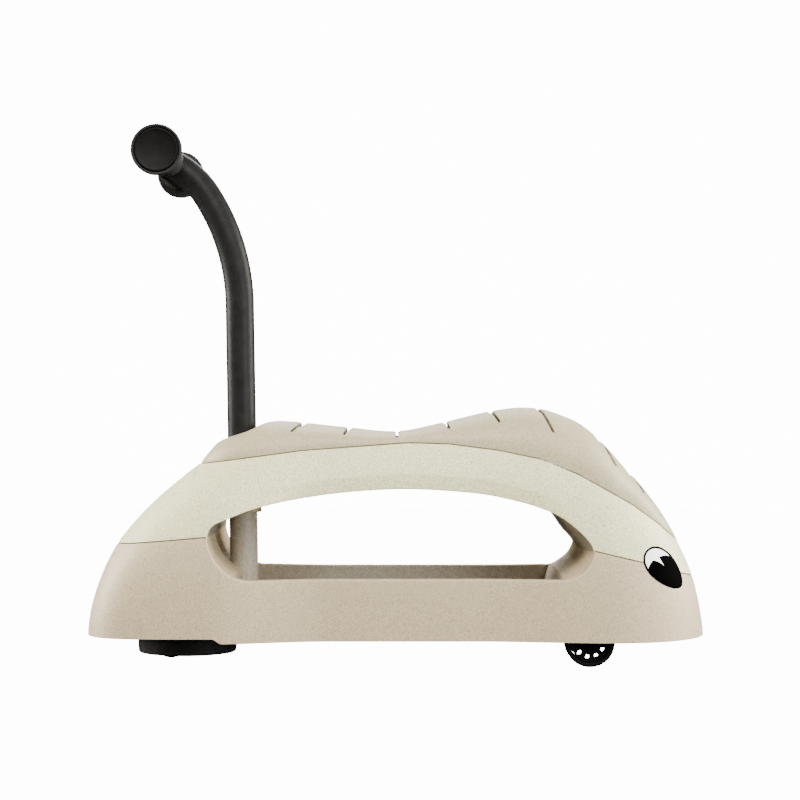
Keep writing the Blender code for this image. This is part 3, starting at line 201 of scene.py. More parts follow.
# Wheels and caster
AXLE_X = 0.1817
WHEEL_RADIUS = 0.02335
WHEEL_FACE_Y = 0.1010
WHEEL_WIDTH = 0.0220
TYRE_INNER_RADIUS = 0.0185
AXLE_RADIUS = 0.004
HUB_BOSS_RADIUS = 0.0072
HUB_WEB = 0.0035
HUB_RING = 0.0013
WEB_UNDER_RING = 0.0009
WEB_UNDER_BOSS = 0.0004
AXLE_DOME_RADIUS = 0.0030
AXLE_DOME_RISE = 0.0006
HUB_RECESS = 0.0020
SLOT_COUNT = 10
SLOT_INNER_RADIUS = 0.0115
SLOT_OUTER_RADIUS = 0.0160
SLOT_WIDTH = 0.0037
SLOT_TURN = math.radians(-29)
BRACKET_Y = 0.0640
BRACKET_THICK = 0.0080
BRACKET_HALF_LENGTH = 0.0150
AXLE_CAP_RADIUS = 0.0065
AXLE_CAP_THICK = 0.0030
CASTER_X = -0.2040
CASTER_TRAIL = 0.0140
CASTER_WHEEL_RADIUS = 0.0200
CASTER_WHEEL_WIDTH = 0.0180
CASTER_BORE = 0.0033
CASTER_DISH = ((0.0152, 0.0), (0.0145, 0.0016))
CASTER_FORK = 0.0080
CASTER_FORK_REACH = 0.0085
HOOD_RADIUS = 0.0495
HOOD_FOOT_RADIUS = 0.0477
HOOD_WALL = 0.0030
HOOD_TOP_WALL = 0.0035
HOOD_LIP = 0.0060
HOOD_LIP_THICK = 0.0020
HOOD_INNER_SLOPE = 0.0010
HOOD_HUB_ROUND = 0.0040
FORK_IN_HOOD = 0.0015
HOOD_RIM_Z = 0.0040
HOOD_TOP_Z = 0.0455
HOOD_HUB_RADIUS = 0.0100
HOOD_HUB_TOP = 0.0535

# Both sides, by the sign of y
SIDES = ((1, "left"), (-1, "right"))

# Stage: where the lamps look, the floor's flat part, its sweep up and its height, and the camera's film
AIM = (0.0, 0.0, 0.15)
FLOOR_FLAT = 3.0
FLOOR_SWEEP = 2.0
FLOOR_HEIGHT = 7.0
FILM_WIDTH = 36.0

# Printed eye, as (x, z), and how far its layers' two faces stand off the skin
EYE_LIFTS = {"outline": (0.00002, 0.00030), "field": (0.00010, 0.00042), "pupil": (0.00010, 0.00054)}
EYE_CENTRE = (0.2519, 0.0919)
EYE_LENGTH = 0.0249
EYE_BREADTH = 0.0135
EYE_TURN = math.radians(-45.5)
EYE_TAPER = 0.23
PUPIL_CENTRE = (0.2555, 0.0885)
PUPIL_EDGE = (
    (0.2612, 0.1012), (0.2573, 0.1033), (0.2524, 0.1041), (0.2465, 0.1027), (0.2523, 0.0938), (0.2405, 0.1001),
    (0.2374, 0.0963), (0.2352, 0.0916),
)


def length(name, description, default, low=0.0):
    return FloatProperty(name=name, description=description, default=default, min=low, unit="LENGTH", precision=4)


def amount(name, description, default, unit="NONE"):
    return FloatProperty(name=name, description=description, default=default, min=0.0, unit=unit)


def colour(name, description, default):
    return FloatVectorProperty(
        name=name, description=description, default=default, size=3, min=0.0, max=1.0, subtype="COLOR"
    )


class WalkerShells(PropertyGroup):
    """Sizes and colours of the three moulded shells and the printed eyes."""

    rim_round: length("Rim round", "Rounding of the base's edge at the side opening", 0.0017)
    arch_rim: length("Arch rim", "Rounding of the arch's edge at the side opening", 0.0010)
    tray_round: length("Tray round", "Rounding of the sill's inner edge, over the tray", 0.0030)
    tunnel_bulge: length("Tunnel bulge", "How far the tunnel's front wall stands in at its middle", 0.0080)
    seam_round: length("Seam round", "Rounding of each shell's edge at a seam", 0.0004)
    band_height: length("Band height", "Height of the slanted band over the opening", 0.0140)
    band_depth: length("Band depth", "How far the band slants in at the opening's edge", 0.0031)
    slot_width: length("Slot width", "Width of a saddle groove on the flank", 0.0028)
    slot_depth: length("Slot depth", "Depth of a saddle groove on the flank", 0.0062)
    groove_width: length("Groove width", "Width of the notch that a groove opens to at the crest", 0.0066)
    groove_depth: length("Groove depth", "Depth of that notch", 0.0030)
    recess_depth: length("Recess depth", "Depth of the recess behind the handle post", 0.0060)
    eye_line: length("Eye line", "Width of the black line round the eye", 0.0019)
    tan: colour("Tan", "Base shell plastic", (0.468, 0.383, 0.238))
    cream: colour("Cream", "Arch shell plastic", (0.734, 0.729, 0.425))
    sand: colour("Sand", "Seat shell plastic", (0.414, 0.362, 0.228))
    # Inner is painted shade, not a plastic of its own: the shells' plastic made darker and greyer for the tray, the
    # deck panel, the post and, at 0.8 of it, the tunnel.
    inner: colour("Inner", "Plastic of the tray, the post and the tunnel", (0.350, 0.312, 0.240))
    columns: IntProperty(
        name="Columns", description="Sections along each shell", default=FULL_COLUMNS, min=60, max=900
    )


class WalkerHandle(PropertyGroup):
    """Sizes and colours of the push handle."""

    steel: colour("Steel", "Powder coat of the tube and crossbar", (0.0100, 0.0100, 0.0101))
    rubber: colour("Rubber", "Grips", (0.0180, 0.0180, 0.0178))
    cap: colour("Cap", "Discs in the grips' ends", (0.0040, 0.0036, 0.0036))
    cap_dish: length("Cap dish", "How deep the end disc is dished", 0.0012)
    groove: length("Groove", "Width of the groove round the end disc", 0.0009)


class WalkerWheels(PropertyGroup):
    """Sizes and colours of the front wheels and the caster."""

    tyre_round: length("Tyre round", "Rounding of the tyre's shoulders", 0.0030)
    slot_round: length("Slot round", "Rounding of the corners of the hub's slots", 0.0016)
    hood_round: length("Hood round", "Rounding of the caster hood's shoulder", 0.0032)
    hood_foot_round: length("Hood foot round", "Rounding of the hood's lower edge", 0.0028)
    black: colour("Black", "Plastic of the hubs and caps", (0.0012, 0.0011, 0.0012))
    # Hood: black plastic, made lighter than the other blacks to stand in for light bounced up from the floor, so partly
    # painted light.
    hood: colour("Hood", "Plastic of the caster's hood", (0.0300, 0.0275, 0.0270))
    tyre: colour("Tyre", "Tyres and caster wheels", (0.0019, 0.0018, 0.0019))


class WalkerStage(PropertyGroup):
    """Camera, floor and lights."""

    floor: colour("Floor", "Floor and backdrop", (0.90, 0.90, 0.90))
    floor_glow: amount("Floor glow", "Light that the floor gives off by itself", 14.0)
    key_power: amount("Key", "Power of the large lamp overhead", 78.0, "POWER")
    side_power: amount("Sides", "Power of the lamps at both ends", 145.0, "POWER")
    fill_power: amount("Fill", "Power of the lamp beside the nose", 62.0, "POWER")
    back_power: amount("Back", "Power of the lamp behind", 30.0, "POWER")
    tint: colour("Tint", "Colour of the lamps", (1.0, 0.955, 0.89))
    sky: amount("Sky", "Strength of the even light from above", 0.55)
    sky_below: amount("Sky below", "Strength of the even light from below", 0.12)
    distance: length("Distance", "Distance of the camera from the middle plane", 2.156)
    height: length("Height", "Height of the camera", 0.250)
    aside: length("Aside", "How far forward of the middle the camera stands", 0.004, -1.0)
    half_view: length("Half view", "Half of the view's width in the middle plane", 0.392)


# Outlines

def curve_through(points, closed=False, between=32):
    """A smooth curve through the given points: a cubic on each stretch, whose end slopes weigh the spans on both sides
    by the root of their length, so that uneven spans give no bulge."""
    knots = np.array(points, float)
    ends = (knots[-1:], knots[:2]) if closed else (2 * knots[:1] - knots[1:2], 2 * knots[-1:] - knots[-2:-1])
    knots = np.concatenate((ends[0], knots, ends[1]))
    t = np.linspace(0, 1, between, endpoint=False)[None, :, None]
    a, b, c, d = (knots[n : len(knots) - 3 + n][:, None] for n in range(4))
    before, here, after = (np.linalg.norm(span, axis=2, keepdims=True) ** 0.5 for span in (b - a, c - b, d - c))
    leave = (c - b) + here * ((b - a) / before - (c - a) / (before + here))
    arrive = (c - b) + here * ((d - c) / after - (d - b) / (here + after))
    made = b + leave * t + (3 * (c - b) - 2 * leave - arrive) * t**2 + (2 * (b - c) + leave + arrive) * t**3
    made = made.reshape(-1, knots.shape[1])
    return made if closed else np.concatenate((made, knots[-2:-1]))


CROWN_CURVE = curve_through(CROWN_LINE).T
SEAT_CURVE = curve_through(SEAT_TOP).T


def blend(x, start, end):
    """0 at start, 1 at end, with a smooth step between."""
    t = np.clip((x - start) / (end - start), 0, 1)
    return t * t * (3 - 2 * t)


def half_width(x, inset=0.0):
    """Half width in plan: a waist that swells to both ends, times a superellipse at the tail and one at the nose."""
    swell = WAIST_HALF + (REAR_HALF - WAIST_HALF) * blend(x, WAIST_REAR_X, REAR_X)
    swell = swell + (FRONT_HALF - WAIST_HALF) * blend(x, WAIST_FRONT_X, FRONT_X)
    tail = np.clip((REAR_X - x) / (REAR_X - TAIL_X - inset), 0, 1)
    nose = np.clip((x - FRONT_X) / (NOSE_X - inset - FRONT_X), 0, 1)
    return (swell - inset) * (1 - tail**TAIL_POWER) ** (1 / TAIL_POWER) * (1 - nose**NOSE_POWER) ** (1 / NOSE_POWER)


def crown(x):
    return np.interp(x, *CROWN_CURVE)


def base_seam(x):
    return np.interp(x, *np.array(BASE_SEAM).T)


def seat_seam(x):
    return np.interp(x, *np.array(SEAT_SEAM).T)


def seat_top(x):
    """The saddle's top line, which is the body's own in front of the hump."""
    return np.where(x < SEAT_TOP[-1][0], np.interp(x, *SEAT_CURVE), crown(x))


def skirt(x):
    """Height of the lower edge: flat, higher at the tail, and a quarter round at the nose."""
    tip = np.clip((x - NOSE_FOOT_X + NOSE_FOOT_ROUND) / NOSE_FOOT_ROUND, 0, 1)
    return SKIRT_Z + SKIRT_RISE * blend(x, RISE_FRONT_X, RISE_REAR_X) + NOSE_FOOT_ROUND * (1 - np.sqrt(1 - tip**2))


def shoulder(share):
    """How much of the plan's half width is left at a share of the height: a superellipse."""
    return (1 - share**SHOULDER_POWER) ** (1 / SHOULDER_POWER)


def skin_y(x, z):
    """Half width at a height: the plan's half width times a superellipse of the height's share of the crown."""
    return half_width(x) * shoulder(np.clip(z / crown(x), 0, 1))


def window_halves():
    """The side opening's upper and lower outlines from rear to front, each with unit normals into its shell."""
    between = 48
    line = curve_through(WINDOW, closed=True, between=between)
    along = np.roll(line, -1, axis=0) - np.roll(line, 1, axis=0)
    out = np.stack((-along[:, 1], along[:, 0]), axis=1) / np.linalg.norm(along, axis=1)[:, None]
    turn = WINDOW_FRONT * between
    upper = (line[: turn + 1], out[: turn + 1])
    lower = tuple(np.concatenate((part[turn:], part[:1]))[::-1] for part in (line, out))
    return upper, lower


def spaced(low, high, count, focus=()):
    """Places from low to high that crowd round each (place, reach, strength) of the focus, by a running total."""
    fine = np.linspace(low, high, 6000)
    weight = np.ones(len(fine))
    for place, reach, strength in focus:
        weight = weight + strength * np.exp(-(((fine - place) / reach) ** 2))
    total = np.concatenate(([0.0], np.cumsum((weight[1:] + weight[:-1]) / 2)))
    return np.interp(np.linspace(0, total[-1], count), total, fine)


def even_along(curves, count):
    """Points spread evenly along each of many polylines at once, given as (rows, points, 2)."""
    steps = np.linalg.norm(np.diff(curves, axis=1), axis=2)
    reach = np.concatenate((np.zeros((len(curves), 1)), np.cumsum(steps, axis=1)), axis=1)
    reach = reach / np.maximum(reach[:, -1:], 1e-12) + 2 * np.arange(len(curves))[:, None]
    wanted = np.linspace(0, 1, count)[None, :] + 2 * np.arange(len(curves))[:, None]
    parts = [np.interp(wanted.ravel(), reach.ravel(), curves[:, :, n].ravel()) for n in range(curves.shape[2])]
    return np.stack(parts, axis=1).reshape(len(curves), count, -1)


def rounded(points, radius, steps=5):
    """A line with each inner corner replaced by a short parabola that starts and ends a radius from it."""
    line = np.array(points, float)
    t = np.linspace(0, 1, steps)[:, None]
    made = [line[:1]]
    for before, corner, after in zip(line, line[1:], line[2:]):
        reach = min(radius, 0.49 * np.linalg.norm(before - corner), 0.49 * np.linalg.norm(after - corner))
        start = corner + (before - corner) / np.linalg.norm(before - corner) * reach
        end = corner + (after - corner) / np.linalg.norm(after - corner) * reach
        made.append((1 - t) ** 2 * start + 2 * t * (1 - t) * corner + t**2 * end)
    return np.concatenate((*made, line[-1:]))


# Meshes

def shell_of(name, points, faces, finish, sharp=40.0):
    """An object of one mesh, with doubles merged and all faces turned outward by the sign of its volume."""
    mesh = bpy.data.meshes.new(name)
    mesh.from_pydata(points.tolist(), [], [tuple(face) for face in faces])
    shape = bmesh.new()
    shape.from_mesh(mesh)
    bmesh.ops.remove_doubles(shape, verts=shape.verts, dist=2e-6)
    bmesh.ops.recalc_face_normals(shape, faces=shape.faces)
    shape.to_mesh(mesh)
    shape.free()
    mesh.shade_smooth()
    mesh.set_sharp_from_angle(angle=math.radians(sharp))
    made = bpy.data.objects.new(name, mesh)
    bpy.context.scene.collection.objects.link(made)
    mesh.materials.append(finish)
    return made


def grid_faces(rows, around, wrap_rows=False, start=0):
    """Quads of a grid whose every row is a closed ring, with flat ends or with its last row joined to its first."""
    r = np.arange(rows if wrap_rows else rows - 1)[:, None]
    c = np.arange(around)[None, :]
    here, over = r * around, ((r + 1) % rows) * around
    quads = np.stack((here + c, here + (c + 1) % around, over + (c + 1) % around, over + c), axis=2)
    faces = (quads.reshape(-1, 4) + start).tolist()
    if not wrap_rows:
        faces.append(list(range(start, start + around)))
        faces.append(list(range(start + (rows - 1) * around, start + rows * around)))
    return faces


def grid_object(name, grid, finish, wrap_rows=False, sharp=40.0):
    rows, around = grid.shape[:2]
    return shell_of(name, grid.reshape(-1, 3), grid_faces(rows, around, wrap_rows), finish, sharp)


def turned_grid(profile, steps, place, axis):
    """(radius, along) points round an axis: cosine and sine of the turn times the radius, plus the way along."""
    profile = np.array(profile, float)
    turn = np.linspace(0, 2 * math.pi, steps, endpoint=False)
    axis = np.array(axis, float) / np.linalg.norm(axis)
    side = np.cross(axis, (0.0, 0.0, 1.0) if abs(axis[2]) < 0.9 else (1.0, 0.0, 0.0))
    side = side / np.linalg.norm(side)
    other = np.cross(axis, side)
    ring = np.cos(turn)[:, None] * side + np.sin(turn)[:, None] * other
    return np.array(place) + profile[:, 0, None, None] * ring + profile[:, 1, None, None] * axis


def turned(name, profile, finish, place=(0, 0, 0), axis=(0, 0, 1), steps=96, sharp=40.0):
    """A turned solid, closed at the axis, or a ring if no point of its profile lies on the axis."""
    grid = turned_grid(profile, steps, place, axis)
    return grid_object(name, grid, finish, wrap_rows=min(p[0] for p in profile) > 1e-6, sharp=sharp)


def ring_profile(corners, radius, steps=5):
    """A closed outline of corners with all of them rounded."""
    loop = [corners[-1], *corners, corners[0]]
    return rounded(loop, radius, steps)[1:-1]


def sleeve_profile(inner, outer, low, high, radius, steps=5):
    """The outline of a round wall: a rectangle of radius and height with rounded corners."""
    return ring_profile([(inner, low), (outer, low), (outer, high), (inner, high)], radius, steps)


def rod_profile(outer, low, high, radius):
    """The outline of a solid rod from axis to axis, with rounded edges."""
    return rounded([(0, low), (outer, low), (outer, high), (0, high)], radius)


def join_shells(name, grids, finish, sharp=40.0):
    """One object from several closed grids, each given as (grid, whether its last row joins its first)."""
    points, faces, start = [], [], 0
    for grid, wrap in grids:
        rows, around = grid.shape[:2]
        points.append(grid.reshape(-1, 3))
        faces += grid_faces(rows, around, wrap, start)
        start += rows * around
    return shell_of(name, np.concatenate(points), faces, finish, sharp)


# Finishes

def new_finish(name, base, roughness, metallic=0.0):
    made = bpy.data.materials.new(name)
    made.use_nodes = True
    shader = made.node_tree.nodes["Principled BSDF"]
    shader.inputs["Base Color"].default_value = (*base, 1.0)
    shader.inputs["Roughness"].default_value = roughness
    shader.inputs["Metallic"].default_value = metallic
    return made, made.node_tree, shader


def noise(tree, scale, detail=2.0, rough=0.5):
    """Noise on the object's own coordinates, so many cells to the metre."""
    place = tree.nodes.new("ShaderNodeTexCoord")
    texture = tree.nodes.new("ShaderNodeTexNoise")
    texture.inputs["Scale"].default_value = scale
    texture.inputs["Detail"].default_value = detail
    texture.inputs["Roughness"].default_value = rough
    tree.links.new(place.outputs["Object"], texture.inputs["Vector"])
    return texture.outputs["Fac"]


def mapped(tree, value, low, high, to_low, to_high):
    node = tree.nodes.new("ShaderNodeMapRange")
    for socket, number in zip(("From Min", "From Max", "To Min", "To Max"), (low, high, to_low, to_high)):
        node.inputs[socket].default_value = number
    tree.links.new(value, node.inputs["Value"])
    return node.outputs["Result"]


def mixed(tree, factor, first, second):
    """A colour that goes from the first to the second with the factor."""
    node = tree.nodes.new("ShaderNodeMix")
    node.data_type = "RGBA"
    tree.links.new(factor, node.inputs["Factor"])
    for socket, value in zip((node.inputs[6], node.inputs[7]), (first, second)):
        if isinstance(value, tuple):
            socket.default_value = (*value, 1.0)
        else:
            tree.links.new(value, socket)
    return node.outputs[2]


def clouded(tree, scale, detail, first, second):
    """A colour that drifts between two tones with a soft noise."""
    return mixed(tree, mapped(tree, noise(tree, scale, detail), 0.3, 0.7, 0.0, 1.0), first, second)


def drifting(tree, scale, detail, low, high):
    """A number that drifts from low to high with a soft noise."""
    return mapped(tree, noise(tree, scale, detail), 0.3, 0.7, low, high)


def dented(tree, shader, height, strength, depth):
    bump = tree.nodes.new("ShaderNodeBump")
    bump.inputs["Strength"].default_value = strength
    bump.inputs["Distance"].default_value = depth
    tree.links.new(height, bump.inputs["Height"])
    tree.links.new(bump.outputs["Normal"], shader.inputs["Normal"])


def shaded(base, share):
    return tuple(min(1.0, part * share) for part in base)


def speckled_plastic(name, base, contrast=1.0):
    """Matt moulded plastic with fibre specks: a cloudy tone, then layers of grain, fibres, rare dark specks and pale
    ones, each a noise cut off at a height and mixed in with its own tint, and a soft dented grain."""
    if name in bpy.data.materials:
        return bpy.data.materials[name]
    made, tree, shader = new_finish(name, base, 0.55)
    ground = clouded(tree, 45.0, 3.0, shaded(base, 0.975), shaded(base, 1.025))
    layers = (
        (950.0, 4.0, 0.8, 0.38, 0.62, 0.85, (1.0, 0.98, 0.94), 1 - 0.34 * contrast),
        (880.0, 2.0, 0.6, 0.57, 0.66, 0.90, (1.0, 0.94, 0.84), 1 - 0.45 * contrast),
        (430.0, 1.0, 0.5, 0.68, 0.72, 0.50, (1.0, 0.86, 0.72), 1 - 0.55 * contrast),
        (900.0, 3.0, 0.7, 0.52, 0.66, 0.80, (1.0, 1.0, 1.0), 1.40),
    )
    for scale, detail, rough, low, high, most, tint, tone in layers:
        spots = mapped(tree, noise(tree, scale, detail, rough), low, high, 0.0, most)
        tinted = tuple(part * change for part, change in zip(base, tint))
        ground = mixed(tree, spots, ground, shaded(tinted, tone))
    tree.links.new(ground, shader.inputs["Base Color"])
    tree.links.new(drifting(tree, 300.0, 2.0, 0.48, 0.62), shader.inputs["Roughness"])
    dented(tree, shader, noise(tree, 1500.0, 2.0), 0.10, 0.0003)
    return made


def grained_black(name, base, low, high, grain=1800.0, strength=0.10, gloss=0.05):
    """Black plastic, rubber or powder coat: one dark tone with a cloudy variation, and a fine grain."""
    if name in bpy.data.materials:
        return bpy.data.materials[name]
    made, tree, shader = new_finish(name, base, (low + high) / 2)
    shader.inputs["Specular IOR Level"].default_value = gloss
    tree.links.new(clouded(tree, 90.0, 3.0, shaded(base, 0.85), shaded(base, 1.2)), shader.inputs["Base Color"])
    tree.links.new(drifting(tree, 240.0, 2.0, low, high), shader.inputs["Roughness"])
    dented(tree, shader, noise(tree, grain, 2.0), strength, 0.0002)
    return made


def plated_steel():
    """Bright zinc on small steel parts: a metal with fine streaks in its roughness."""
    if "plated_steel" in bpy.data.materials:
        return bpy.data.materials["plated_steel"]
    made, tree, shader = new_finish("plated_steel", (0.58, 0.57, 0.54), 0.3, 1.0)
    tree.links.new(drifting(tree, 700.0, 4.0, 0.22, 0.42), shader.inputs["Roughness"])
    tree.links.new(clouded(tree, 160.0, 2.0, (0.50, 0.49, 0.46), (0.64, 0.63, 0.61)), shader.inputs["Base Color"])
    return made


def white_nylon():
    """Milky nylon with a faint cloud."""
    if "white_nylon" in bpy.data.materials:
        return bpy.data.materials["white_nylon"]
    made, tree, shader = new_finish("white_nylon", (0.76, 0.75, 0.70), 0.45)
    tree.links.new(clouded(tree, 200.0, 2.0, (0.70, 0.69, 0.64), (0.80, 0.79, 0.75)), shader.inputs["Base Color"])
    return made


def printed(name, base, roughness, gloss):
    """Printed ink: one tone with the plastic's grain showing through."""
    if name in bpy.data.materials:
        return bpy.data.materials[name]
    made, tree, shader = new_finish(name, base, roughness)
    shader.inputs["Specular IOR Level"].default_value = gloss
    tree.links.new(clouded(tree, 500.0, 2.0, shaded(base, 0.97), shaded(base, 1.03)), shader.inputs["Base Color"])
    dented(tree, shader, noise(tree, 1500.0, 2.0), 0.06, 0.0002)
    return made


def tan_plastic():
    return speckled_plastic("tan_plastic", tuple(bpy.context.scene.walker_shells.tan))


# Painted shade: the inner colour, darker and greyer than the shells' own, times a share, for faces in the hollows.
def painted_shade_plastic(name, share=1.0):
    return speckled_plastic(name, shaded(tuple(bpy.context.scene.walker_shells.inner), share))


def wheel_black():
    return grained_black("wheel_black", tuple(bpy.context.scene.walker_wheels.black), 0.36, 0.5)


# Painted bounce light: the hood's black is lighter than the hubs' to stand in for light from the floor.
def hood_black():
    return grained_black("hood_black", tuple(bpy.context.scene.walker_wheels.hood), 0.36, 0.5)


def tyre_rubber():
    return grained_black("tyre_rubber", tuple(bpy.context.scene.walker_wheels.tyre), 0.6, 0.8, 1300.0)


def powder_coat():
    return grained_black("powder_coat", tuple(bpy.context.scene.walker_handle.steel), 0.34, 0.42, 2600.0, 0.06)


def lined(piece, finish, chosen):
    """Gives a second finish to the faces whose middles, as x, y and z, pass the test."""
    mesh = piece.data
    mesh.materials.append(finish)
    middle = np.empty(len(mesh.polygons) * 3)
    mesh.polygons.foreach_get("center", middle)
    mesh.polygons.foreach_set("material_index", chosen(*middle.reshape(-1, 3).T).astype(np.int32))
    return piece


def carried(piece, body, slot, *nodes):
    """Hangs a finished piece on its body, in the place of the nodes that it is drawn for."""
    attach(piece, body)
    if nodes:
        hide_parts(*nodes)
    return piece


# Body sections

def spread(values, count):
    """A column of values repeated across."""
    return np.repeat(values[:, None], count, axis=1)


def quarter(count):
    """A quarter round of radius one in so many points: one less the sine, and one less the cosine, of the turn."""
    turn = np.linspace(0, math.pi / 2, count)[None, :]
    return 1 - np.sin(turn), 1 - np.cos(turn)


def rim_points(place, normal, radius, y_at, count=6):
    """A quarter round from the skin into the edge: radius times one less the sine out and one less the cosine in."""
    out, deep = (radius[:, None] * part for part in quarter(count))
    x = place[:, :1] + normal[:, :1] * out
    z = place[:, 1:] + normal[:, 1:] * out
    return x, np.maximum(y_at(x, z) - deep, 0), z


def outline_places(outline, count, focus):
    """An outline thinned to a number of places, crowded where the focus says, in x."""
    line, out = outline
    steps = np.linalg.norm(np.diff(line, axis=0), axis=1)
    middle = (line[1:, 0] + line[:-1, 0]) / 2
    weight = np.ones(len(steps))
    for place, reach, strength in focus:
        weight = weight + strength * np.exp(-(((middle - place) / reach) ** 2))
    total = np.concatenate(([0.0], np.cumsum(steps * weight)))
    wanted = np.linspace(0, total[-1], count)
    line = np.stack([np.interp(wanted, total, line[:, n]) for n in (0, 1)], axis=1)
    out = np.stack([np.interp(wanted, total, out[:, n]) for n in (0, 1)], axis=1)
    return line, out / np.linalg.norm(out, axis=1)[:, None]


def mirrored_loops(x, y, z):
    """Closed sections from half ones: the half loop, then the same one back on the other side."""
    x, y, z = (np.concatenate((part, part[:, ::-1]), axis=1) for part in (x, np.maximum(y, 0), z))
    half = y.shape[1] // 2
    y[:, half:] *= -1
    return np.stack((x, y, z), axis=2)


def ends_where(stands):
    """The first and the last place along the body where a height, worked out from x, is more than a thin edge's."""
    x = np.linspace(TAIL_X, NOSE_X, 8000)
    inside = x[stands(x) > THIN_EDGE]
    return inside[0], inside[-1]


def shell_edge(outline, rear, front, seam_z, up, rim, settings):
    """A shell's edge from rear to front: on its seam behind and before the opening, and on the opening's outline
    between. It gives the places, their normals into the shell, which are on the outline, and the edge's rounding."""
    line, out = outline
    sides = [np.stack((x, seam_z(x)), axis=1) for x in (rear, front)]
    flat = [np.tile((0.0, up), (len(side), 1)) for side in sides]
    place = np.concatenate((sides[0], line, sides[1]))
    normal = np.concatenate((flat[0], out, flat[1]))
    at_rim = np.repeat((False, True, False), (len(rear), len(line), len(front)))
    return place, normal, at_rim, np.where(at_rim, rim, settings.seam_round)


def within(x, rear, front):
    """1 between two slopes and 0 beyond them, each with the places where it starts and ends."""
    return blend(x, *rear) * blend(x, *front)


def base_grid(settings):
    """The base as closed sections: skin up to the seam or the opening, a rounded rim, sill, tray and underside."""
    start, end = ends_where(lambda x: np.minimum(base_seam(x), crown(x)) - skirt(x))
    share = settings.columns / FULL_COLUMNS
    rim = settings.rim_round
    line, out = outline_places(window_halves()[1], round(230 * share), BASE_FOCUS)
    tail, nose = ([(tip, *focus) for focus in BASE_TIPS] for tip in (start, end))
    rear = spaced(start, line[0, 0] - rim - CLEAR, round(90 * share), (*tail, BASE_TAIL_FOCUS))
    front = spaced(line[-1, 0] + rim + CLEAR, end, round(110 * share), nose)
    edge = shell_edge((line, out), rear, front, lambda x: np.minimum(base_seam(x), crown(x)), -1.0, rim, settings)
    place, normal, at_rim, radius = edge
    top = place + normal * radius[:, None]
    x_skin, low = top[:, 0], skirt(top[:, 0])
    top_z = np.maximum(top[:, 1], low + BASE_EDGE)

    climb = np.sin(np.linspace(0, math.pi / 2, 240))[None, :]
    fine = low[:, None] + BASE_FOOT + (top_z - low - BASE_FOOT)[:, None] * climb
    skin = even_along(np.stack((skin_y(x_skin[:, None], fine), fine), axis=2), BASE_ROWS)
    rim_x, rim_y, rim_z = rim_points(place, normal, radius, skin_y)

    foot = np.array(((BASE_FOOT, 0.0), (0.0003, 0.00015), (0.0, BASE_EDGE)))
    foot_y = skin_y(x_skin, low)[:, None] - foot[None, :, 0]
    foot_z = low[:, None] + foot[None, :, 1]

    inner_x, inner_y, inner_z = tray_points(place, normal * at_rim[:, None], rim_y[:, -1], settings)
    under_y, under_z = under_points(x_skin, low)
    side_x = spread(x_skin, under_y.shape[1] + len(foot) + BASE_ROWS)
    return mirrored_loops(
        np.concatenate((side_x, rim_x, inner_x), axis=1),
        np.concatenate((under_y, foot_y, skin[:, :, 0], rim_y, inner_y), axis=1),
        np.concatenate((under_z, foot_z, skin[:, :, 1], rim_z, inner_z), axis=1),
    )


def tunnel_bulge(x, across, edge_y, settings):
    """How far the tunnel's wall stands in at its front end: one less the fourth power of the way out to the rim."""
    out = np.clip(across / np.maximum(edge_y, LEAST_SPAN)[:, None], 0, 1)
    return settings.tunnel_bulge * blend(x, *BULGE_SLOPE)[:, None] * (1 - out**4)


def tray_points(place, normal, edge_y, settings):
    """From the rim inward: sill, round, the tray's wall, its foot and its floor, with a recess behind the post."""
    x, z = place[:, 0], place[:, 1]
    wall = np.minimum(half_width(x) - RIM_WIDTH, edge_y - SILL_LEAST - settings.tray_round)
    depth = (z - TRAY_Z)[:, None]
    out, deep = (settings.tray_round * part for part in quarter(7))
    round_y = wall[:, None] + out
    foot = np.array(TRAY_FOOT)
    floor = np.linspace(1.0, 0.0, TRAY_ROWS)[None, :] * (wall - TRAY_FOOT_REACH)[:, None]
    sill = (edge_y[:, None], (edge_y[:, None] + round_y[:, :1]) / 2)
    across = np.concatenate((*sill, round_y, wall[:, None] + foot[:, 0], floor), axis=1)
    pocket = within(x, *POCKET_SLOPES)
    floor_depth = depth + PLATE_SINK * pocket[:, None]
    upper_sink = (np.zeros((len(x), len(sill))), np.repeat(deep, len(x), axis=0))
    sink = (*upper_sink, foot[:, 1] * depth, np.repeat(floor_depth, TRAY_ROWS, axis=1))
    tray = within(x, *TRAY_SLOPES)
    height = z[:, None] - np.concatenate(sink, axis=1) * tray[:, None]
    bulge = tunnel_bulge(x, across, edge_y, settings)
    beside = blend(np.abs(across), RECESS_HALF + RECESS_ROUND, RECESS_HALF - RECESS_ROUND)
    behind = beside * within(x, *RECESS_SLOPES)[:, None]
    moved = x[:, None] - settings.recess_depth * behind - normal[:, :1] * bulge
    return moved, across, height - normal[:, 1:] * bulge


def under_points(x, low):
    """The underside from the middle out: the web's lower face, a corner, and the inner wall down to the skirt."""
    web = UNDER_Z - PLATE_SINK * within(x, *WEB_SLOPES)
    top = np.maximum(np.minimum(web, crown(x) - SHELL_WALL - LEAST_SPAN), low)
    hollow = (half_width(x, SHELL_WALL) > 0.002) & (top > low + 0.004)
    top = np.where(hollow, top, low)
    wall_z = low[:, None] + (top - low)[:, None] * np.linspace(1, 0, 9)[None, :]
    share = np.clip(wall_z / np.maximum(crown(x) - SHELL_WALL, LEAST_SPAN)[:, None], 0, 1)
    wall_y = half_width(x, SHELL_WALL)[:, None] * shoulder(share)
    solid_y = skin_y(x, low)[:, None] * 0.9
    wall_y = np.where(hollow[:, None], wall_y, solid_y)
    web_y = np.linspace(0, 1, 9)[None, :-1] * (wall_y[:, :1] - 0.0015)
    return np.concatenate((web_y, wall_y), axis=1), np.concatenate((spread(top, 8), wall_z), axis=1)


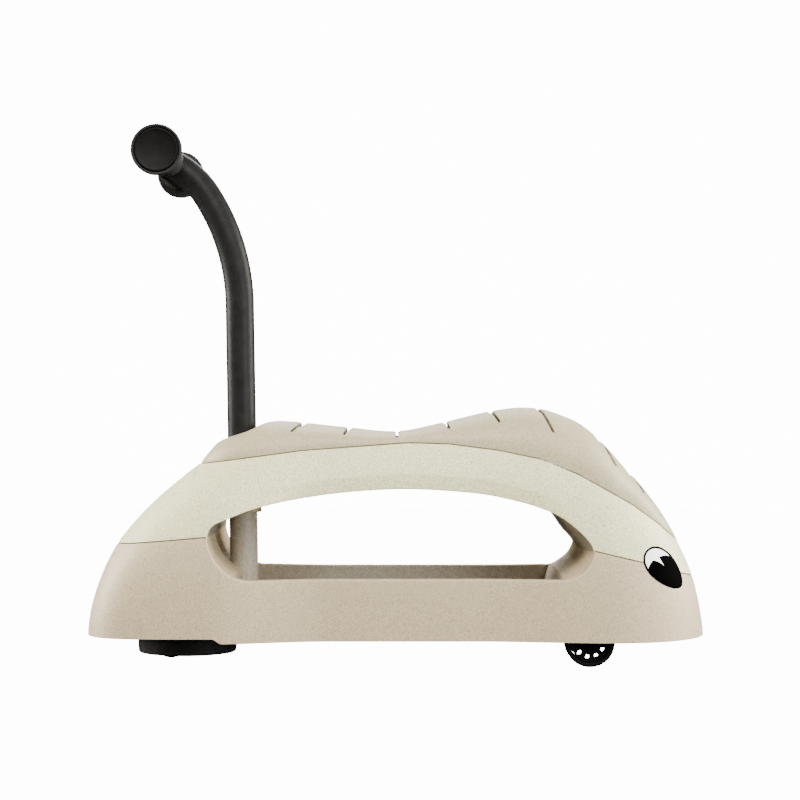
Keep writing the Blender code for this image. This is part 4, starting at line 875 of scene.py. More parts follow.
def deck_grid():
    """The deck panel between the sills: closed sections of a thin slab with rounded edges, just short of the tray."""
    x = np.linspace(PLATE_REAR_X + GAP, PLATE_FRONT_X - GAP, 120)
    half = (half_width(x) - RIM_WIDTH - PLATE_REACH)[:, None]
    out, deep = (PLATE_ROUND * part for part in quarter(4))
    flat = np.linspace(0, 1, 12)[None, :-1]
    ends = (half - deep[:, ::-1], half - deep)
    y = np.concatenate((half * flat, *ends, (half - PLATE_ROUND) * flat[:, ::-1]), axis=1)
    low, high = TRAY_Z - PLATE_SINK + GAP, TRAY_Z
    z = np.concatenate((flat * 0 + low, low + out[:, ::-1], high - out, flat * 0 + high), axis=1)
    y[:, 0] = y[:, -1] = 0.0
    return mirrored_loops(spread(x, y.shape[1]), y, np.repeat(z, len(x), axis=0))


def band_drop(x, z, upper, settings):
    """How far the arch's skin stands in over the opening: straight from the band's top to the opening's edge."""
    edge = np.interp(x, upper[:, 0], upper[:, 1])
    strength = within(x, *BAND_SLOPES)
    share = np.clip(1 - (z - edge) / settings.band_height, 0, 1)
    return settings.band_depth * strength * share


def arch_grid(settings):
    """The arch as closed sections: skin from the seam or the opening to the saddle's seam, with rounded edges."""
    start, end = ends_where(lambda x: crown(x) - base_seam(x))
    share = settings.columns / FULL_COLUMNS
    rim = settings.arch_rim
    line, out = outline_places(window_halves()[0], round(230 * share), ARCH_FOCUS)
    rear = spaced(start, line[0, 0] - rim - CLEAR, round(90 * share), ((start, *ARCH_TIP), ARCH_TAIL_FOCUS))
    front = spaced(line[-1, 0] + rim + CLEAR, end, round(90 * share), ((end, *ARCH_TIP),))
    edge = shell_edge((line, out), rear, front, lambda x: base_seam(x) + SEAM_GAP, 1.0, rim, settings)
    place, normal, at_rim, radius = edge
    x_skin, low = (place + normal * radius[:, None]).T

    def y_at(at_x, at_z):
        return skin_y(at_x, at_z) - band_drop(at_x, at_z, line, settings)

    top = np.minimum(seat_seam(x_skin), crown(x_skin))
    edge = np.minimum(settings.seam_round, np.maximum(skin_y(x_skin, top) / 3, 0))
    top_skin = np.maximum(np.where(top < crown(x_skin) - 1e-6, top - edge, top), low + 1e-5)
    shares = [np.clip(part / crown(x_skin), 0, 1) for part in (low, top_skin)]
    turns = [np.arcsin(part ** (SHOULDER_POWER / 2))[:, None] for part in shares]
    angle = turns[0] + (turns[1] - turns[0]) * np.linspace(0, 1, 400)[None, :]
    fine_z = crown(x_skin)[:, None] * np.sin(angle) ** (2 / SHOULDER_POWER)
    fine_z[:, 0], fine_z[:, -1] = low, top_skin
    skin = even_along(np.stack((y_at(x_skin[:, None], fine_z), fine_z), axis=2), ARCH_ROWS)

    rim_x, rim_y, rim_z = (part[:, ::-1] for part in rim_points(place, normal, radius, y_at))
    out, deep = (part[:, 1:] for part in quarter(5))
    edge_y = y_at(x_skin[:, None], top_skin[:, None]) - edge[:, None] * deep
    edge_z = top_skin[:, None] + (top - top_skin)[:, None] * (1 - out)
    cap_y = edge_y[:, -1:] * np.linspace(1, 0, 7)[None, 1:]
    cap_z = np.repeat(edge_z[:, -1:], 6, axis=1)
    floor_y = rim_y[:, :1] * np.linspace(0, 1, 14)[None, :-1]
    bulge = tunnel_bulge(x_skin, floor_y, rim_y[:, 0], settings) * at_rim[:, None]
    floor_x = place[:, :1] - normal[:, :1] * bulge
    floor_z = place[:, 1:] - normal[:, 1:] * bulge
    return mirrored_loops(
        np.concatenate((floor_x, rim_x, spread(x_skin, ARCH_ROWS + 10)), axis=1),
        np.concatenate((floor_y, rim_y, skin[:, :, 0], edge_y, cap_y), axis=1),
        np.concatenate((floor_z, rim_z, skin[:, :, 1], edge_z, cap_z), axis=1),
    )


def saddle_at(x, angle):
    """A point of the saddle: half width times a power of the cosine, and rise times a power of the sine."""
    low = seat_seam(x) + SEAM_GAP
    y = skin_y(x, low) * np.cos(angle) ** (2 / SEAT_EDGE_POWER)
    z = low + (seat_top(x) - low) * np.sin(angle) ** (2 / SEAT_EDGE_POWER)
    return y, z


def groove_sink(x, z, settings):
    """Depth of the grooves at (x, z): each is a slot with steep walls about its own slanted line, and it opens to a
    notch near the crest."""
    sink = np.zeros(np.broadcast(x, z).shape)
    for (top_x, top_z), (foot_x, foot_z) in GROOVES:
        run = np.array((top_x - foot_x, top_z - foot_z))
        reach = np.linalg.norm(run)
        run = run / reach
        along = ((x - foot_x) * run[0] + (z - foot_z) * run[1]) / reach
        away = np.abs((x - foot_x) * run[1] - (z - foot_z) * run[0])
        ends = blend(along * reach, *GROOVE_END_SLOPE)
        slot = settings.slot_depth * (1 - blend(away / settings.slot_width * 2, 0.7, 1.0))
        notch = settings.groove_depth * np.clip(1 - away / settings.groove_width * 2, 0, 1)
        notch = notch * blend(along, *GROOVE_CREST)
        sink = np.maximum(sink, np.maximum(slot, notch) * ends)
    return sink


def seat_grid(settings):
    """The saddle as closed sections that lean with the grooves, sunk along the surface's normal at each groove."""
    x = np.linspace(TAIL_X, NOSE_X, 12000)
    room = np.minimum(seat_top(x) - seat_seam(x), 0.12 * skin_y(x, seat_seam(x)))
    inside = x[(room > 0.0004) & (seat_seam(x) < crown(x))]
    start, end = inside[0], inside[-1]
    tops = np.array([top[0] for top, _ in GROOVES])
    leans = np.array([(foot[0] - top[0]) / (top[1] - foot[1]) for top, foot in GROOVES])
    focus = [(place, *GROOVE_FOCUS) for place in tops] + [(start, *SEAT_TIP), (end, *SEAT_TIP)]
    columns = spaced(start, end, round(settings.columns * 2.1), focus)
    lean = np.interp(columns, np.concatenate(([start], tops, [end])), np.concatenate(([0.0], leans, [0.0])))
    angle = np.linspace(0, math.pi / 2, 300)[None, :]
    along = np.repeat(columns[:, None], angle.shape[1], axis=1)
    for _ in range(LEAN_ROUNDS):
        y, z = saddle_at(along, angle)
        along = np.clip(columns[:, None] + lean[:, None] * (seat_top(columns)[:, None] - z), start, end)
    y, z = saddle_at(along, angle)
    points = even_along(np.stack((along, y, z), axis=2), SEAT_ROWS)
    x, y, z = (points[:, :, n] for n in range(3))

    across = np.gradient(points, axis=1)
    lengthwise = np.gradient(points, axis=0)
    normal = np.cross(lengthwise, across)
    normal = normal / np.maximum(np.linalg.norm(normal, axis=2), 1e-12)[:, :, None]
    normal = normal * np.where(normal[:, :, 2:] < 0, -1.0, 1.0)
    points = points - normal * groove_sink(x, z, settings)[:, :, None]
    points[:, -1, 1] = 0.0

    edge = settings.seam_round
    turn = np.linspace(math.pi / 2, 0, 4)[None, :-1]
    low = points[:, :1]
    foot_y = low[:, :, 1] - edge * (1 - np.cos(turn))
    foot_z = low[:, :, 2] + edge * (1 - np.sin(turn))
    points[:, 0, 2] = low[:, 0, 2]
    step_y = np.maximum(foot_y[:, :1] - 0.003, foot_y[:, :1] * 0.7)
    flat_y = step_y * np.linspace(0, 1, 7)[None, :]
    flat_z = np.repeat(low[:, :, 2] - (SEAM_GAP - GAP), 7, axis=1)
    side_x = np.repeat(points[:, :1, 0], 10, axis=1)
    return mirrored_loops(
        np.concatenate((side_x, points[:, 1:, 0]), axis=1),
        np.concatenate((flat_y, foot_y, points[:, 1:, 1]), axis=1),
        np.concatenate((flat_z, foot_z, points[:, 1:, 2]), axis=1),
    )


def leaned(height):
    """A point on the handle's straight axis, by its height."""
    return np.array((HANDLE_FOOT_X - math.tan(HANDLE_LEAN) * (height - HANDLE_FOOT_Z), 0.0, height))


LEAN_AXIS = (-math.sin(HANDLE_LEAN), 0.0, math.cos(HANDLE_LEAN))


def prism_grid(outline, low_y, high_y):
    """A flat outline in the side view, carried straight across."""
    flat = np.array(outline, float)
    return np.stack([np.stack((flat[:, 0], np.full(len(flat), y), flat[:, 1]), axis=1) for y in (low_y, high_y)])


class WALKER_OT_base(Operator):
    """Base shell with its skirt, sills, tray, deck panel, handle post and axle brackets."""

    bl_idname = "walker.base_shell"
    bl_label = "Base shell"

    def execute(self, context):
        settings = context.scene.walker_shells
        finish = tan_plastic()
        # The tray's faces, the deck panel and the post get painted shade: a darker, greyer tone than the tan, for the
        # shade in the hollow.
        inner = painted_shade_plastic("tray_plastic")
        shell = lined(grid_object("base_moulding", base_grid(settings), finish), inner, self.in_tray_shade)
        carried(shell, "body", "shell_tan", "base_shell")
        carried(grid_object("deck_panel", deck_grid(), inner), "body", "shell_tan", "deck_plate")
        foot = TRAY_Z - POST_SEAT + GAP
        post = rod_profile(POST_RADIUS, 0.0, POST_TOP - foot, 0.0004)
        carried(turned("post_column", post, inner, leaned(foot), LEAN_AXIS), "body", "shell_tan", "handle_post")
        carried(join_shells("axle_brackets", self.brackets(), finish), "body", "shell_tan")
        return {"FINISHED"}

    def in_tray_shade(self, x, y, z):
        """True between the tray's ends and between its floor and the sills' tops, as far out as the sills: the faces
        that get the painted shade.
        """
        along = (x > TRAY_REAR_X - 0.002) & (x < TRAY_FRONT_X + 0.007)
        up = (z > UNDER_Z - PLATE_SINK + 0.0005) & (z < SILL_Z - 0.0012)
        return along & up & (np.abs(y) < half_width(x) - RIM_WIDTH + 0.0005)

    def brackets(self):
        """Two upright ribs with an open slot for the axle: a rectangle with a round-topped notch from below."""
        foot = WHEEL_RADIUS - AXLE_RADIUS - GAP
        slot = AXLE_RADIUS + GAP
        turn = np.linspace(math.pi, 0, 13)
        notch = np.stack((AXLE_X + slot * np.cos(turn), WHEEL_RADIUS + slot * np.sin(turn)), axis=1)
        left, right = AXLE_X - BRACKET_HALF_LENGTH, AXLE_X + BRACKET_HALF_LENGTH
        outline = np.concatenate((
            [(left, UNDER_Z + 0.001), (left, foot), (AXLE_X - slot, foot)], notch,
            [(AXLE_X + slot, foot), (right, foot), (right, UNDER_Z + 0.001)],
        ))
        return [
            (prism_grid(outline, side * BRACKET_Y, side * (BRACKET_Y + BRACKET_THICK)), False) for side in (1, -1)
        ]


class WALKER_OT_arch(Operator):
    """Arch shell over the opening."""

    bl_idname = "walker.arch_shell"
    bl_label = "Arch shell"

    def execute(self, context):
        settings = context.scene.walker_shells
        finish = speckled_plastic("cream_plastic", tuple(settings.cream), 1.35)
        # The tunnel's inner faces get painted shade: the inner colour at 0.8, much darker than the cream, for the shade
        # under the arch.
        tunnel = painted_shade_plastic("tunnel_plastic", 0.80)
        shell = lined(grid_object("arch_moulding", arch_grid(settings), finish), tunnel, self.in_tunnel_shade)
        carried(shell, "body", "shell_cream", "arch_shell")
        return {"FINISHED"}

    def in_tunnel_shade(self, x, y, z):
        """True between the opening's ends, in from the skin and under the saddle's seam: the faces that get the painted
        shade.
        """
        along = (x > WINDOW[0][0] - 0.001) & (x < WINDOW[WINDOW_FRONT][0] + 0.001)
        return along & (np.abs(y) < skin_y(x, z) - 0.0035) & (z < seat_seam(x) - 0.008)


class WALKER_OT_seat(Operator):
    """Saddle with its pressed grooves."""

    bl_idname = "walker.seat_shell"
    bl_label = "Seat shell"

    def execute(self, context):
        settings = context.scene.walker_shells
        finish = speckled_plastic("sand_plastic", tuple(settings.sand))
        # The grooves' sunk faces get painted shade: the sand at 0.42, a darker copy of the same plastic for the shade
        # in the slots.
        deep = speckled_plastic("groove_plastic", shaded(tuple(settings.sand), 0.42))
        shell = lined(grid_object("saddle_moulding", seat_grid(settings), finish), deep, self.in_groove_shade)
        carried(shell, "body", "shell_sand", "seat_shell")
        return {"FINISHED"}

    def in_groove_shade(self, x, y, z):
        """True well under the saddle's unsunk surface: its superellipse in y and height adds up to less than one. These
        faces get the painted shade.
        """
        low = seat_seam(x) + SEAM_GAP
        out = np.abs(y) / np.maximum(skin_y(x, low), 0.001)
        up = np.clip((z - low) / np.maximum(seat_top(x) - low, 0.0005), 0, 2)
        return (out**SEAT_EDGE_POWER + up**SEAT_EDGE_POWER < 0.94) & (z > low + 0.0005)


class WALKER_OT_eyes(Operator):
    """Printed eyes: a black egg, a white field and a black pupil with a wedge of light."""

    bl_idname = "walker.eyes"
    bl_label = "Eyes"

    def execute(self, context):
        settings = context.scene.walker_shells
        angle = np.linspace(0, 2 * math.pi, 144, endpoint=False)
        egg, field = (self.egg(angle, inset) for inset in (0.0, settings.eye_line))
        ink = printed("eye_ink", (0.0002, 0.0002, 0.0002), 0.6, 0.004)
        white = printed("eye_white", (0.90, 0.90, 0.90), 0.5, 0.3)
        layers = (
            ("outline", egg, EYE_CENTRE, ink), ("field", field, EYE_CENTRE, white),
            ("pupil", self.pupil(field), PUPIL_CENTRE, ink),
        )
        for side, word in SIDES:
            for layer, edge, centre, finish in layers:
                plate = self.plate(f"eye_{layer}_{word}", edge, centre, side, EYE_LIFTS[layer], finish)
                carried(plate, "body", "eye_black", *([f"eye_{word}"] if layer == "outline" else []))
        return {"FINISHED"}

    def egg(self, angle, inset):
        """An ellipse whose breadth tapers toward its lower end, less an inset all round, as (x, z)."""
        u = (EYE_LENGTH - inset) * np.cos(angle)
        v = (EYE_BREADTH - inset) * np.sin(angle) * (1 - EYE_TAPER * np.cos(angle))
        x = EYE_CENTRE[0] + u * math.cos(EYE_TURN) - v * math.sin(EYE_TURN)
        z = EYE_CENTRE[1] + u * math.sin(EYE_TURN) + v * math.cos(EYE_TURN)
        return np.stack((x, z), axis=1)

    def pupil(self, field):
        """The pupil's edge about its centre: measured points at the top, and the white field's edge elsewhere."""
        centre = np.array(PUPIL_CENTRE)
        edge = np.array(PUPIL_EDGE) - centre
        turn = np.unwrap(np.arctan2(edge[:, 1], edge[:, 0]))
        far = np.linalg.norm(edge, axis=1)
        whole = field - centre
        whole_turn = np.arctan2(whole[:, 1], whole[:, 0])
        order = np.argsort(whole_turn)
        angle = np.linspace(0, 2 * math.pi, 288, endpoint=False)
        wrapped = (angle + math.pi) % (2 * math.pi) - math.pi
        limit = np.interp(wrapped, whole_turn[order], np.linalg.norm(whole, axis=1)[order], period=2 * math.pi)
        reach = np.where((angle > turn[0]) & (angle < turn[-1]), np.interp(angle, turn, far), limit)
        reach = np.minimum(reach, limit)
        return centre + np.stack((np.cos(angle), np.sin(angle)), axis=1) * reach[:, None]

    def plate(self, name, edge, centre, side, lifts, finish):
        """A thin plate on the flank: rings from its centre to its edge at the skin's height plus a small lift."""
        shares = np.array((0.02, 0.2, 0.4, 0.6, 0.8, 1.0))[:, None, None]
        flat = np.array(centre) + (edge[None] - np.array(centre)) * shares
        rows = []
        for lift, rings in zip(lifts, (flat, flat[::-1])):
            y = side * (skin_y(rings[:, :, 0], rings[:, :, 1]) + lift)
            rows.append(np.stack((rings[:, :, 0], y, rings[:, :, 1]), axis=2))
        return grid_object(name, np.concatenate(rows), finish)


class WALKER_OT_socket(Operator):
    """Flanged cup under the arch that holds the handle's foot."""

    bl_idname = "walker.handle_socket"
    bl_label = "Handle socket"

    def execute(self, context):
        corners = [
            (0, 0), (SOCKET_FLANGE_RADIUS, 0), (SOCKET_FLANGE_RADIUS, SOCKET_FLANGE), (SOCKET_RADIUS, SOCKET_FLANGE),
            (SOCKET_RADIUS, SOCKET_HEIGHT), (0, SOCKET_HEIGHT),
        ]
        cup = turned("socket_cup", rounded(corners, 0.0008), tan_plastic(), leaned(POST_TOP + GAP), LEAN_AXIS)
        carried(cup, "body", "shell_tan", "handle_socket")
        return {"FINISHED"}


def handle_path(count=90):
    """The tube's centre line: straight, then a long bend back, then a short one, each at one radius, in the world."""
    lengths = (TUBE_STRAIGHT, BEND_RADIUS * BEND_ANGLE, TOP_BEND_RADIUS * TOP_BEND_ANGLE)
    ends = np.cumsum(lengths)
    s = np.concatenate((np.linspace(0.004, ends[0], 12), spaced(ends[0], ends[2], count)[1:]))
    first = np.clip(s - ends[0], 0, lengths[1]) / BEND_RADIUS
    second = np.clip(s - ends[1], 0, None) / TOP_BEND_RADIUS
    angle = first + second
    x = -BEND_RADIUS * (1 - np.cos(first)) - TOP_BEND_RADIUS * (np.cos(first) - np.cos(angle))
    z = np.minimum(s, ends[0]) + BEND_RADIUS * np.sin(first) + TOP_BEND_RADIUS * (np.sin(angle) - np.sin(first))
    world_x = HANDLE_FOOT_X + x * math.cos(HANDLE_LEAN) - z * math.sin(HANDLE_LEAN)
    world_z = HANDLE_FOOT_Z + x * math.sin(HANDLE_LEAN) + z * math.cos(HANDLE_LEAN)
    return world_x, world_z, angle + HANDLE_LEAN


class WALKER_OT_handle(Operator):
    """Bent tube and crossbar of the push handle."""

    bl_idname = "walker.handle_tube"
    bl_label = "Handle tube"

    def execute(self, context):
        x, z, angle = handle_path()
        around = np.linspace(0, 2 * math.pi, 72, endpoint=False)[None, :]
        out = TUBE_RADIUS * np.cos(around)
        grid = np.stack((
            x[:, None] + out * np.cos(angle)[:, None],
            np.broadcast_to(TUBE_RADIUS * np.sin(around), (len(x), 72)),
            z[:, None] + out * np.sin(angle)[:, None],
        ), axis=2)
        carried(grid_object("push_tube", grid, powder_coat()), "body", "black_steel", "handle_tube")
        half = GRIP_END - BAR_IN_GRIP
        bar = rod_profile(CROSSBAR_RADIUS, -half, half, 0.0006)
        bar = turned("push_bar", bar, powder_coat(), (x[-1], 0, z[-1]), (0, 1, 0))
        carried(bar, "body", "black_steel", "handle_crossbar")
        return {"FINISHED"}


class WALKER_OT_grips(Operator):
    """Rubber grips with their flanges and the dished discs in their ends."""

    bl_idname = "walker.grips"
    bl_label = "Grips"

    def execute(self, context):
        settings = context.scene.walker_handle
        rubber = grained_black("grip_rubber", tuple(settings.rubber), 0.5, 0.66, 1500.0, 0.14)
        plastic = grained_black("grip_disc", tuple(settings.cap), 0.34, 0.44, 1500.0, 0.05)
        x, z, _ = handle_path()
        place = (x[-1], 0, z[-1])
        sleeve_line = self.sleeve(CAP_RADIUS + settings.groove)
        disc_line = self.disc(settings.cap_dish)
        for side, word in SIDES:
            sleeve = turned(f"grip_sleeve_{word}", sleeve_line, rubber, place, (0, side, 0))
            carried(sleeve, "body", "black_rubber", f"grip_{word}")
            disc = turned(f"grip_disc_{word}", disc_line, plastic, place, (0, side, 0))
            carried(disc, "body", "black_plastic", f"grip_cap_{word}")
        return {"FINISHED"}

    def sleeve(self, ring):
        """The grip's outline: bore, grip, a slope up to the flange, and a seat for the disc."""
        bore_radius, flange, seat = CROSSBAR_RADIUS + GAP, GRIP_END - FLANGE_THICK, GRIP_END - DISC_SEAT
        return ring_profile([
            (bore_radius, GRIP_START), (GRIP_RADIUS, GRIP_START), (GRIP_RADIUS, flange - GRIP_SLOPE[0]),
            (GRIP_RADIUS + GRIP_SLOPE[1], flange), (FLANGE_RADIUS, flange), (FLANGE_RADIUS, GRIP_END), (ring, GRIP_END),
            (ring, seat), (bore_radius, seat),
        ], 0.0014)

    def disc(self, dish):
        """The disc's outline: its back and rounded rim, then a parabola that is the dish deep at the middle."""
        back = GRIP_END - DISC_SEAT - DISC_GAP
        rim = [(0, back), (CAP_RADIUS, back), (CAP_RADIUS, GRIP_END), (CAP_RADIUS * 0.93, GRIP_END)]
        share = np.linspace(1, 0, 10)
        hollow = np.stack((CAP_RADIUS * 0.9 * share, GRIP_END - DISC_GAP - dish * (1 - share**2)), axis=1)
        return np.concatenate((rounded(rim, 0.0008), hollow))


# Hub webs

def slot_outline(count, corner):
    """A rounded rectangle about the middle of a slot: a superellipse-like path of straight sides and quarter rounds."""
    half_r = (SLOT_OUTER_RADIUS - SLOT_INNER_RADIUS) / 2
    half_w = SLOT_WIDTH / 2
    turn = np.linspace(0, 2 * math.pi, count, endpoint=False) + math.pi / count
    way = np.stack((np.cos(turn), np.sin(turn)), axis=1)
    straight = np.stack((np.full(count, half_r - corner), np.full(count, half_w - corner)), axis=1)
    reach = np.min((half_r - corner) / np.maximum(np.abs(way[:, :1]), 1e-9), axis=1)
    reach = np.minimum(reach, (half_w - corner) / np.maximum(np.abs(way[:, 1]), 1e-9))
    inner = np.clip(way * reach[:, None], -straight, straight)
    return inner + corner * way


def slotted_web(low, high, inner, outer, corner, place, side):
    """A disc with see-through slots: in each sector, rings go from the slot's edge out to the sector's own border."""
    count = 48
    hole = slot_outline(count, corner) + np.array(((SLOT_INNER_RADIUS + SLOT_OUTER_RADIUS) / 2, 0.0))
    half = math.pi / SLOT_COUNT
    turn = np.arctan2(hole[:, 1], hole[:, 0] - (inner + outer) / 2)
    side_count = count // 4
    t = np.linspace(-1, 1, side_count + 1)[:-1]
    border_angle = np.concatenate((t * half, np.full(side_count, half), -t * half, np.full(side_count, -half)))
    border_radius = np.concatenate((
        np.full(side_count, outer), outer + (inner - outer) * (t + 1) / 2,
        np.full(side_count, inner), inner + (outer - inner) * (t + 1) / 2,
    ))
    border = np.stack((border_radius * np.cos(border_angle), border_radius * np.sin(border_angle)), axis=1)
    start = np.argmin(np.abs(turn + math.pi / 4))
    hole = np.roll(hole, -start, axis=0)
    shares = np.array((0.0, 0.12, 0.4, 0.7, 1.0))[:, None, None]
    flat = hole[None] + (border - hole)[None] * shares
    edge = 0.0004
    lift = np.where(np.arange(5) == 0, edge, 0.0)
    rows = [
        np.concatenate((flat, np.broadcast_to((high - lift)[:, None, None], (5, count, 1))), axis=2)[::-1],
        np.concatenate((flat, np.broadcast_to((low + lift)[:, None, None], (5, count, 1))), axis=2),
    ]
    sector = np.concatenate(rows)
    points, faces = [], []
    for number in range(SLOT_COUNT):
        angle = SLOT_TURN + number * 2 * math.pi / SLOT_COUNT
        x = sector[:, :, 0] * math.cos(angle) - sector[:, :, 1] * math.sin(angle)
        z = sector[:, :, 0] * math.sin(angle) + sector[:, :, 1] * math.cos(angle)
        points.append(np.stack((place[0] + x, place[1] + side * sector[:, :, 2], place[2] + z), axis=2).reshape(-1, 3))
        quads = grid_faces(10, count, False, number * 10 * count)[:-2]
        faces += quads
    return np.concatenate(points), faces


class WALKER_OT_wheels(Operator):
    """Front tyres, slotted hubs and axle caps."""

    bl_idname = "walker.front_wheels"
    bl_label = "Front wheels"

    def execute(self, context):
        settings = context.scene.walker_wheels
        inner, outer = WHEEL_FACE_Y - WHEEL_WIDTH, WHEEL_FACE_Y
        face, centre = outer - HUB_RECESS, (AXLE_X, 0, WHEEL_RADIUS)
        rim = TYRE_INNER_RADIUS - GAP
        start, end = outer + GAP, outer + AXLE_CAP_THICK
        tyre_line = sleeve_profile(TYRE_INNER_RADIUS, WHEEL_RADIUS, inner, outer, settings.tyre_round, 8)
        ring_line = sleeve_profile(rim - HUB_RING, rim, inner, outer, 0.0005)
        boss_line = sleeve_profile(AXLE_RADIUS + GAP, HUB_BOSS_RADIUS, inner, outer, 0.0006)
        dome = [(0, start), (AXLE_CAP_RADIUS, start), (AXLE_CAP_RADIUS, end - AXLE_DOME_RISE)]
        dome += [(AXLE_DOME_RADIUS, end), (0, end)]
        borders = (HUB_BOSS_RADIUS - WEB_UNDER_BOSS, rim - WEB_UNDER_RING)
        web = (face - HUB_WEB, face, *borders, settings.slot_round, centre)
        for side, word in SIDES:
            wheel, axis = f"front_wheel_{word}", (0, side, 0)
            tyre = turned(f"tyre_{word}", tyre_line, tyre_rubber(), centre, axis, 120)
            carried(tyre, wheel, "black_rubber", f"front_tyre_{word}")
            rings = [turned_grid(line, steps, centre, axis) for line, steps in ((ring_line, 120), (boss_line, 96))]
            hub = join_shells(f"hub_rings_{word}", [(ring, True) for ring in rings], wheel_black())
            carried(hub, wheel, "black_plastic", f"front_hub_{word}")
            carried(shell_of(f"hub_web_{word}", *slotted_web(*web, side), wheel_black()), wheel, "black_plastic")
            cap = turned(f"axle_dome_{word}", rounded(dome, 0.0012), wheel_black(), centre, axis, 64)
            carried(cap, "body", "black_plastic", f"axle_cap_{word}")
        return {"FINISHED"}


class WALKER_OT_caster(Operator):
    """Caster hood with its fork, and the twin wheels."""

    bl_idname = "walker.caster"
    bl_label = "Caster"

    def execute(self, context):
        settings = context.scene.walker_wheels
        under = HOOD_TOP_Z - HOOD_TOP_WALL
        hood = turned_grid(self.hood(settings, under), 144, (CASTER_X, 0, 0), (0, 0, 1))
        axle = (CASTER_X - CASTER_TRAIL, CASTER_WHEEL_RADIUS)
        turn = np.radians(np.linspace(180, 360, 25))
        ways = np.stack((np.cos(turn), np.sin(turn)), axis=1)
        fork_top = under + FORK_IN_HOOD
        shoulders = [(CASTER_X + CASTER_FORK_REACH, fork_top), (axle[0] - 1.6 * CASTER_FORK_REACH, fork_top)]
        outline = np.concatenate((np.array(axle) + CASTER_FORK_REACH * ways, shoulders))
        fork = prism_grid(outline, -CASTER_FORK / 2, CASTER_FORK / 2)
        made = join_shells("caster_cover", [(hood, False), (fork, False)], hood_black())
        carried(made, "caster", "black_plastic", "caster_hood")
        start = CASTER_FORK / 2 + GAP
        end = start + CASTER_WHEEL_WIDTH
        corners = [
            (CASTER_BORE, start), (CASTER_WHEEL_RADIUS, start), (CASTER_WHEEL_RADIUS, end),
            *((radius, end - deep) for radius, deep in CASTER_DISH), (CASTER_BORE, end - HUB_RECESS),
        ]
        line = ring_profile(corners, 0.0018, 6)
        for side, word in SIDES:
            name = f"caster_wheel_{word}"
            wheel = turned(f"caster_roller_{word}", line, tyre_rubber(), (axle[0], 0, axle[1]), (0, side, 0), 96)
            carried(wheel, name, "black_rubber", name)
        return {"FINISHED"}

    def hood(self, settings, under):
        """The hood's outline from its hub over the shoulder and down to the foot, then back up inside."""
        inner_foot, inner_wall = HOOD_FOOT_RADIUS - HOOD_LIP, HOOD_FOOT_RADIUS - HOOD_WALL - HOOD_INNER_SLOPE
        outside = [(HOOD_HUB_RADIUS - HOOD_HUB_ROUND, HOOD_HUB_TOP), (HOOD_HUB_RADIUS, HOOD_HUB_TOP)]
        outside += [(HOOD_HUB_RADIUS, HOOD_TOP_Z), (HOOD_RADIUS, HOOD_TOP_Z), (HOOD_FOOT_RADIUS, HOOD_RIM_Z)]
        inside = [(inner_foot, HOOD_RIM_Z), (inner_foot, HOOD_RIM_Z + HOOD_LIP_THICK)]
        inside += [(inner_wall, HOOD_RIM_Z + HOOD_LIP), (HOOD_RADIUS - HOOD_WALL, under), (0, under)]
        foot = rounded([*outside[-2:], inside[0]], settings.hood_foot_round, 7)[1:-1]
        upper = rounded(outside, settings.hood_round, 9)[:-1]
        return np.concatenate(([(0.0, HOOD_HUB_TOP)], upper, foot, rounded(outside[-1:] + inside, 0.0016)[1:]))


class WALKER_OT_small_parts(Operator):
    """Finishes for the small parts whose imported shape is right."""

    bl_idname = "walker.small_parts"
    bl_label = "Small parts"

    def execute(self, context):
        steel, nylon, black, tan = plated_steel(), white_nylon(), wheel_black(), tan_plastic()
        kinds = (
            ("screw", steel), ("axle_cap", black), ("axle_clamp", tan), ("axle_spacer", nylon), ("axle", steel),
            ("pin", steel), ("clip", steel), ("bushing", nylon), ("plug", black), ("cap", black),
        )
        for name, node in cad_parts.items():
            if node.hide_render:
                continue
            found = [finish for word, finish in kinds if word in name]
            if not found:
                raise RuntimeError(f"{name} has no finish")
            for place in node.material_slots:
                place.material = found[0]
        return {"FINISHED"}


